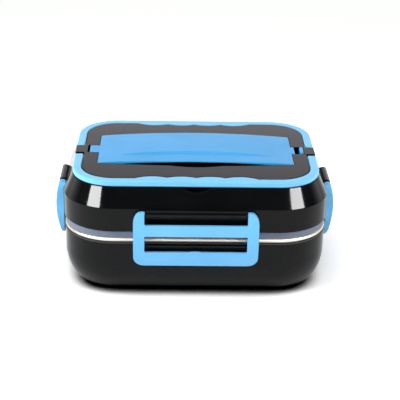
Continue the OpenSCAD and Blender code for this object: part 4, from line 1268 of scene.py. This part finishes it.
def cutlery_blade(bm, low, high, widths, rises, dish, thick):
    """Lengthwise sheet from (place, value) stops: half widths, heights and dish; thick is its wall."""
    along, across = 56, 12
    length, middle = high.x - low.x, (low.y + high.y) / 2
    rows = []
    for k in range(along + 1):
        t = k / along
        half, rise, dip = (blend_between(stops, t) for stops in (widths, rises, dish))
        sides = [2 * j / across - 1 for j in range(across + 1)]
        rows.append([(low.x + length * t, middle + half * v, low.z + rise + dip * v * v) for v in sides])
    top = [[bm.verts.new((x, y, z + thick)) for x, y, z in row] for row in rows]
    under = [[bm.verts.new(p) for p in row] for row in rows]
    for k in range(along):
        for j in range(across):
            bm.faces.new((top[k][j], top[k + 1][j], top[k + 1][j + 1], top[k][j + 1]))
            bm.faces.new((under[k][j], under[k][j + 1], under[k + 1][j + 1], under[k + 1][j]))
        for j in (0, across):
            bm.faces.new((under[k][j], under[k + 1][j], top[k + 1][j], top[k][j]))
    for k in (0, along):
        for j in range(across):
            bm.faces.new((under[k][j], under[k][j + 1], top[k][j + 1], top[k][j]))


# Half widths of the shaft and handle that spoon and fork share, from the neck to the end
SHAFT = ((0.34, 3), (0.6, 3), (0.9, 4), (0.985, 3.2), (1, 1.2))


def make_spoon():
    bowl = (spoon_high.y - spoon_low.y) / 2
    widths = ((0, 1.5), (0.04, 7), (0.15, bowl), (0.27, 9)) + SHAFT
    rises = ((0, 3.2), (0.16, 0), (0.32, 2.4), (0.45, 3.6), (1, 2.2))
    dish = ((0, 0), (0.05, 0.8), (0.16, 2.6), (0.3, 0.5), (0.4, 0), (1, -0.3))
    spoon = scratch(lambda bm: cutlery_blade(bm, spoon_low, spoon_high, widths, rises, dish, 1.0))
    soften(spoon, 0.25, 2, 60)
    finish(spoon, "spoon_steel", "lid", CUTLERY_STEEL, "tray_steel", "spoon", sharp=55)


def make_fork():
    half = (fork_high.y - fork_low.y) / 2
    widths = ((0, half - 1), (0.06, half), (0.17, half), (0.27, 7)) + SHAFT
    rises = ((0, 0.9), (0.12, 0), (0.3, 0.3), (1, 0.2))
    fork = scratch(lambda bm: cutlery_blade(bm, fork_low, fork_high, widths, rises, ((0, 0), (1, 0)), 1.1))
    slit_half, slit_length = 1.3, 24
    slit = fillet([(slit_length, -slit_half), (slit_length, slit_half), (-3, slit_half), (-3, -slit_half)],
                  (1.25, 1.25, 0, 0))
    for i in (-1, 0, 1):
        place = Vector((fork_low.x, (fork_low.y + fork_high.y) / 2 + i * half / 2))
        carve(fork, lambda bm: add_prism(bm, [p + place for p in slit], fork_low.z - 2, fork_high.z + 3))
    soften(fork, 0.25, 2, 50)
    finish(fork, "fork_steel", "lid", CUTLERY_STEEL, "tray_steel", "fork", sharp=50)


# ---------------------------------------------------------------- studio

WALL_LIGHT = 1.8
WALL_TOP_LIGHT = 0.2
ROOM_LIGHT = 0.05
SKY_LIGHT = 0.4
FLOOR_WHITE = 1.5
FLOOR_REACH = 6.0
BACKDROP_WHITE = linear(253, 255, 252)


def make_floor():
    """White sweep that keeps the object's shadow, plus a painted contact shadow: the floor's colour turns
    dark in a line where the object stands.
    """
    f = Finish("studio_floor", roughness=0.6, specular_ior_level=0.1)
    tone = linear(236, 235, 237)
    f.set("Base Color", f.mix(f.between(f.noise(3, 2), 0.3, 0.7), tone, tuple(c * 0.985 for c in tone)))
    seen_directly = f.ray("Is Camera Ray") + f.ray("Is Glossy Ray") + f.ray("Is Transmission Ray")
    # Painted contact shadow: ambient occlusion within 30 mm darkens the floor's colour (white below), down
    # to black where the object stands, on top of the shadow the lamps cast.
    painted_shadow_mask = f.node("ShaderNodeAmbientOcclusion", {"samples": 16}, {"Distance": 0.03}, "AO")
    white = f.between(painted_shadow_mask, 0.26, 0.55, 0.0, FLOOR_WHITE)
    ground_with_painted_shadow = f.node("ShaderNodeBsdfDiffuse", {}, {"Color": white})
    sweep = f.node("ShaderNodeEmission", {}, {"Color": BACKDROP_WHITE, "Strength": 1.0})
    radius = f.node("ShaderNodeVectorMath", {"operation": "LENGTH"}, {0: f.coords}, "Value")
    pale = f.choose(f.between(radius, 0.35, 0.9), ground_with_painted_shadow, sweep)
    surface = f.choose(seen_directly, Flow(f, f.shader.outputs[0]), pale)
    f.feed(f.tree.nodes["Material Output"].inputs["Surface"], surface)
    mesh = bpy.data.meshes.new("studio_floor")
    corners = [(x * FLOOR_REACH, y * FLOOR_REACH, 0) for x, y in ((-1, -1), (1, -1), (1, 1), (-1, 1))]
    mesh.from_pydata(corners, [], [(0, 1, 2, 3)])
    mesh.materials.append(f.material)
    link("studio_floor", mesh)


def make_world():
    """White to the camera and even on dull surfaces.

    Gloss shows a bright wall low in the rear and a dark room in front.
    """
    world = bpy.data.worlds.new("studio")
    bpy.context.scene.world = world
    world.use_nodes = True
    world.node_tree.nodes.clear()
    w = Shading(world.node_tree)
    way = w.node("ShaderNodeTexCoord", {}, {}, "Generated")
    height = w.node("ShaderNodeSeparateXYZ", {}, {0: way}, "Z")
    depth = w.node("ShaderNodeSeparateXYZ", {}, {0: way}, "Y")
    wall = w.between(height, 0.24, 0.54, WALL_LIGHT, WALL_TOP_LIGHT, "SMOOTHSTEP")
    behind = w.between(depth, -0.05, 0.45, ease="SMOOTHSTEP")

    def background(colour, strength):
        return w.node("ShaderNodeBackground", {}, {"Color": colour, "Strength": strength})

    white = background(BACKDROP_WHITE, 1.0)
    shown = background((0.8, 0.8, 0.8), SKY_LIGHT)
    shown = w.choose(w.ray("Is Glossy Ray"), shown, background((1, 0.97, 1.04), wall * behind + ROOM_LIGHT))
    for kind in ("Is Transmission Ray", "Is Camera Ray"):
        shown = w.choose(w.ray(kind), shown, white)
    w.node("ShaderNodeOutputWorld", {}, {"Surface": shown}, None)


def add_softbox(name, place, size, power):
    """Area lamp that faces the middle of the object."""
    light = bpy.data.lights.new(name, "AREA")
    light.shape = "RECTANGLE"
    light.size, light.size_y = size
    light.energy = power
    obj = link(name, light)
    obj.location = place
    facing = Vector((0, 0, 0.05)) - Vector(place)
    obj.rotation_euler = facing.to_track_quat("-Z", "Y").to_euler()
    return obj


def make_lights():
    """Soft top light and two fills.

    Two panels, flagged off all but the skirt and the steel, give those their bright gloss.
    """
    flagged = bpy.data.collections.new("panels reach")
    for piece in ("lid_skirt_gloss", "tray_steel_body"):
        flagged.objects.link(bpy.data.objects[piece])
    add_softbox("top_softbox", (0, -0.3, 1.5), (1.6, 1.1), 9.5)
    for side, name, fill_power, panel_power, panel_z in (
        (-1, "left", 25, 76, 0.72),
        (1, "right", 13, 66, 0.66),
    ):
        fill = add_softbox(f"{name}_fill", (side * 1.4, -0.5, 0.5), (0.7, 0.7), fill_power)
        fill.visible_glossy = False
        panel = add_softbox(f"{name}_panel", (side * 1.05, -0.95, panel_z), (0.72, 0.44), panel_power)
        panel.visible_diffuse = False
        panel.light_linking.receiver_collection = flagged


def make_camera():
    """Long lens a little above the lid, rolled slightly and just left of the middle."""
    distance, elevation, azimuth, roll = 1.077, math.radians(23.3), math.radians(-1.4), math.radians(1.1)
    frame_pixels, focal_pixels, sensor = 400, 1243.6, 36
    target = Vector((4.7, 0, 53.4)) * MM
    level = math.cos(elevation)
    back = Vector((math.sin(azimuth) * level, -math.cos(azimuth) * level, math.sin(elevation)))
    right = (-back).cross(Vector((0, 0, 1))).normalized()
    up = right.cross(-back)
    x = right * math.cos(roll) + up * math.sin(roll)
    y = up * math.cos(roll) - right * math.sin(roll)
    camera = bpy.data.cameras.new("camera")
    camera.sensor_width = sensor
    camera.lens = sensor * focal_pixels / frame_pixels
    obj = link("camera", camera)
    turn = Matrix((x, y, back)).transposed().to_4x4()
    obj.matrix_world = Matrix.Translation(target + back * distance) @ turn
    bpy.context.scene.camera = obj


# ---------------------------------------------------------------- build

make_camera()
make_base()
make_underside()
make_base_inside()
make_tray()
make_skirt()
make_deck()
make_lid_inside()
for latch_side in range(4):
    make_latch(latch_side)
for handle_node in ("front_handle", "rear_handle"):
    make_handle(handle_node)
make_cover()
make_clip()
make_spoon()
make_fork()
make_floor()
make_world()
make_lights()
bpy.context.scene.view_settings.view_transform = "Standard"
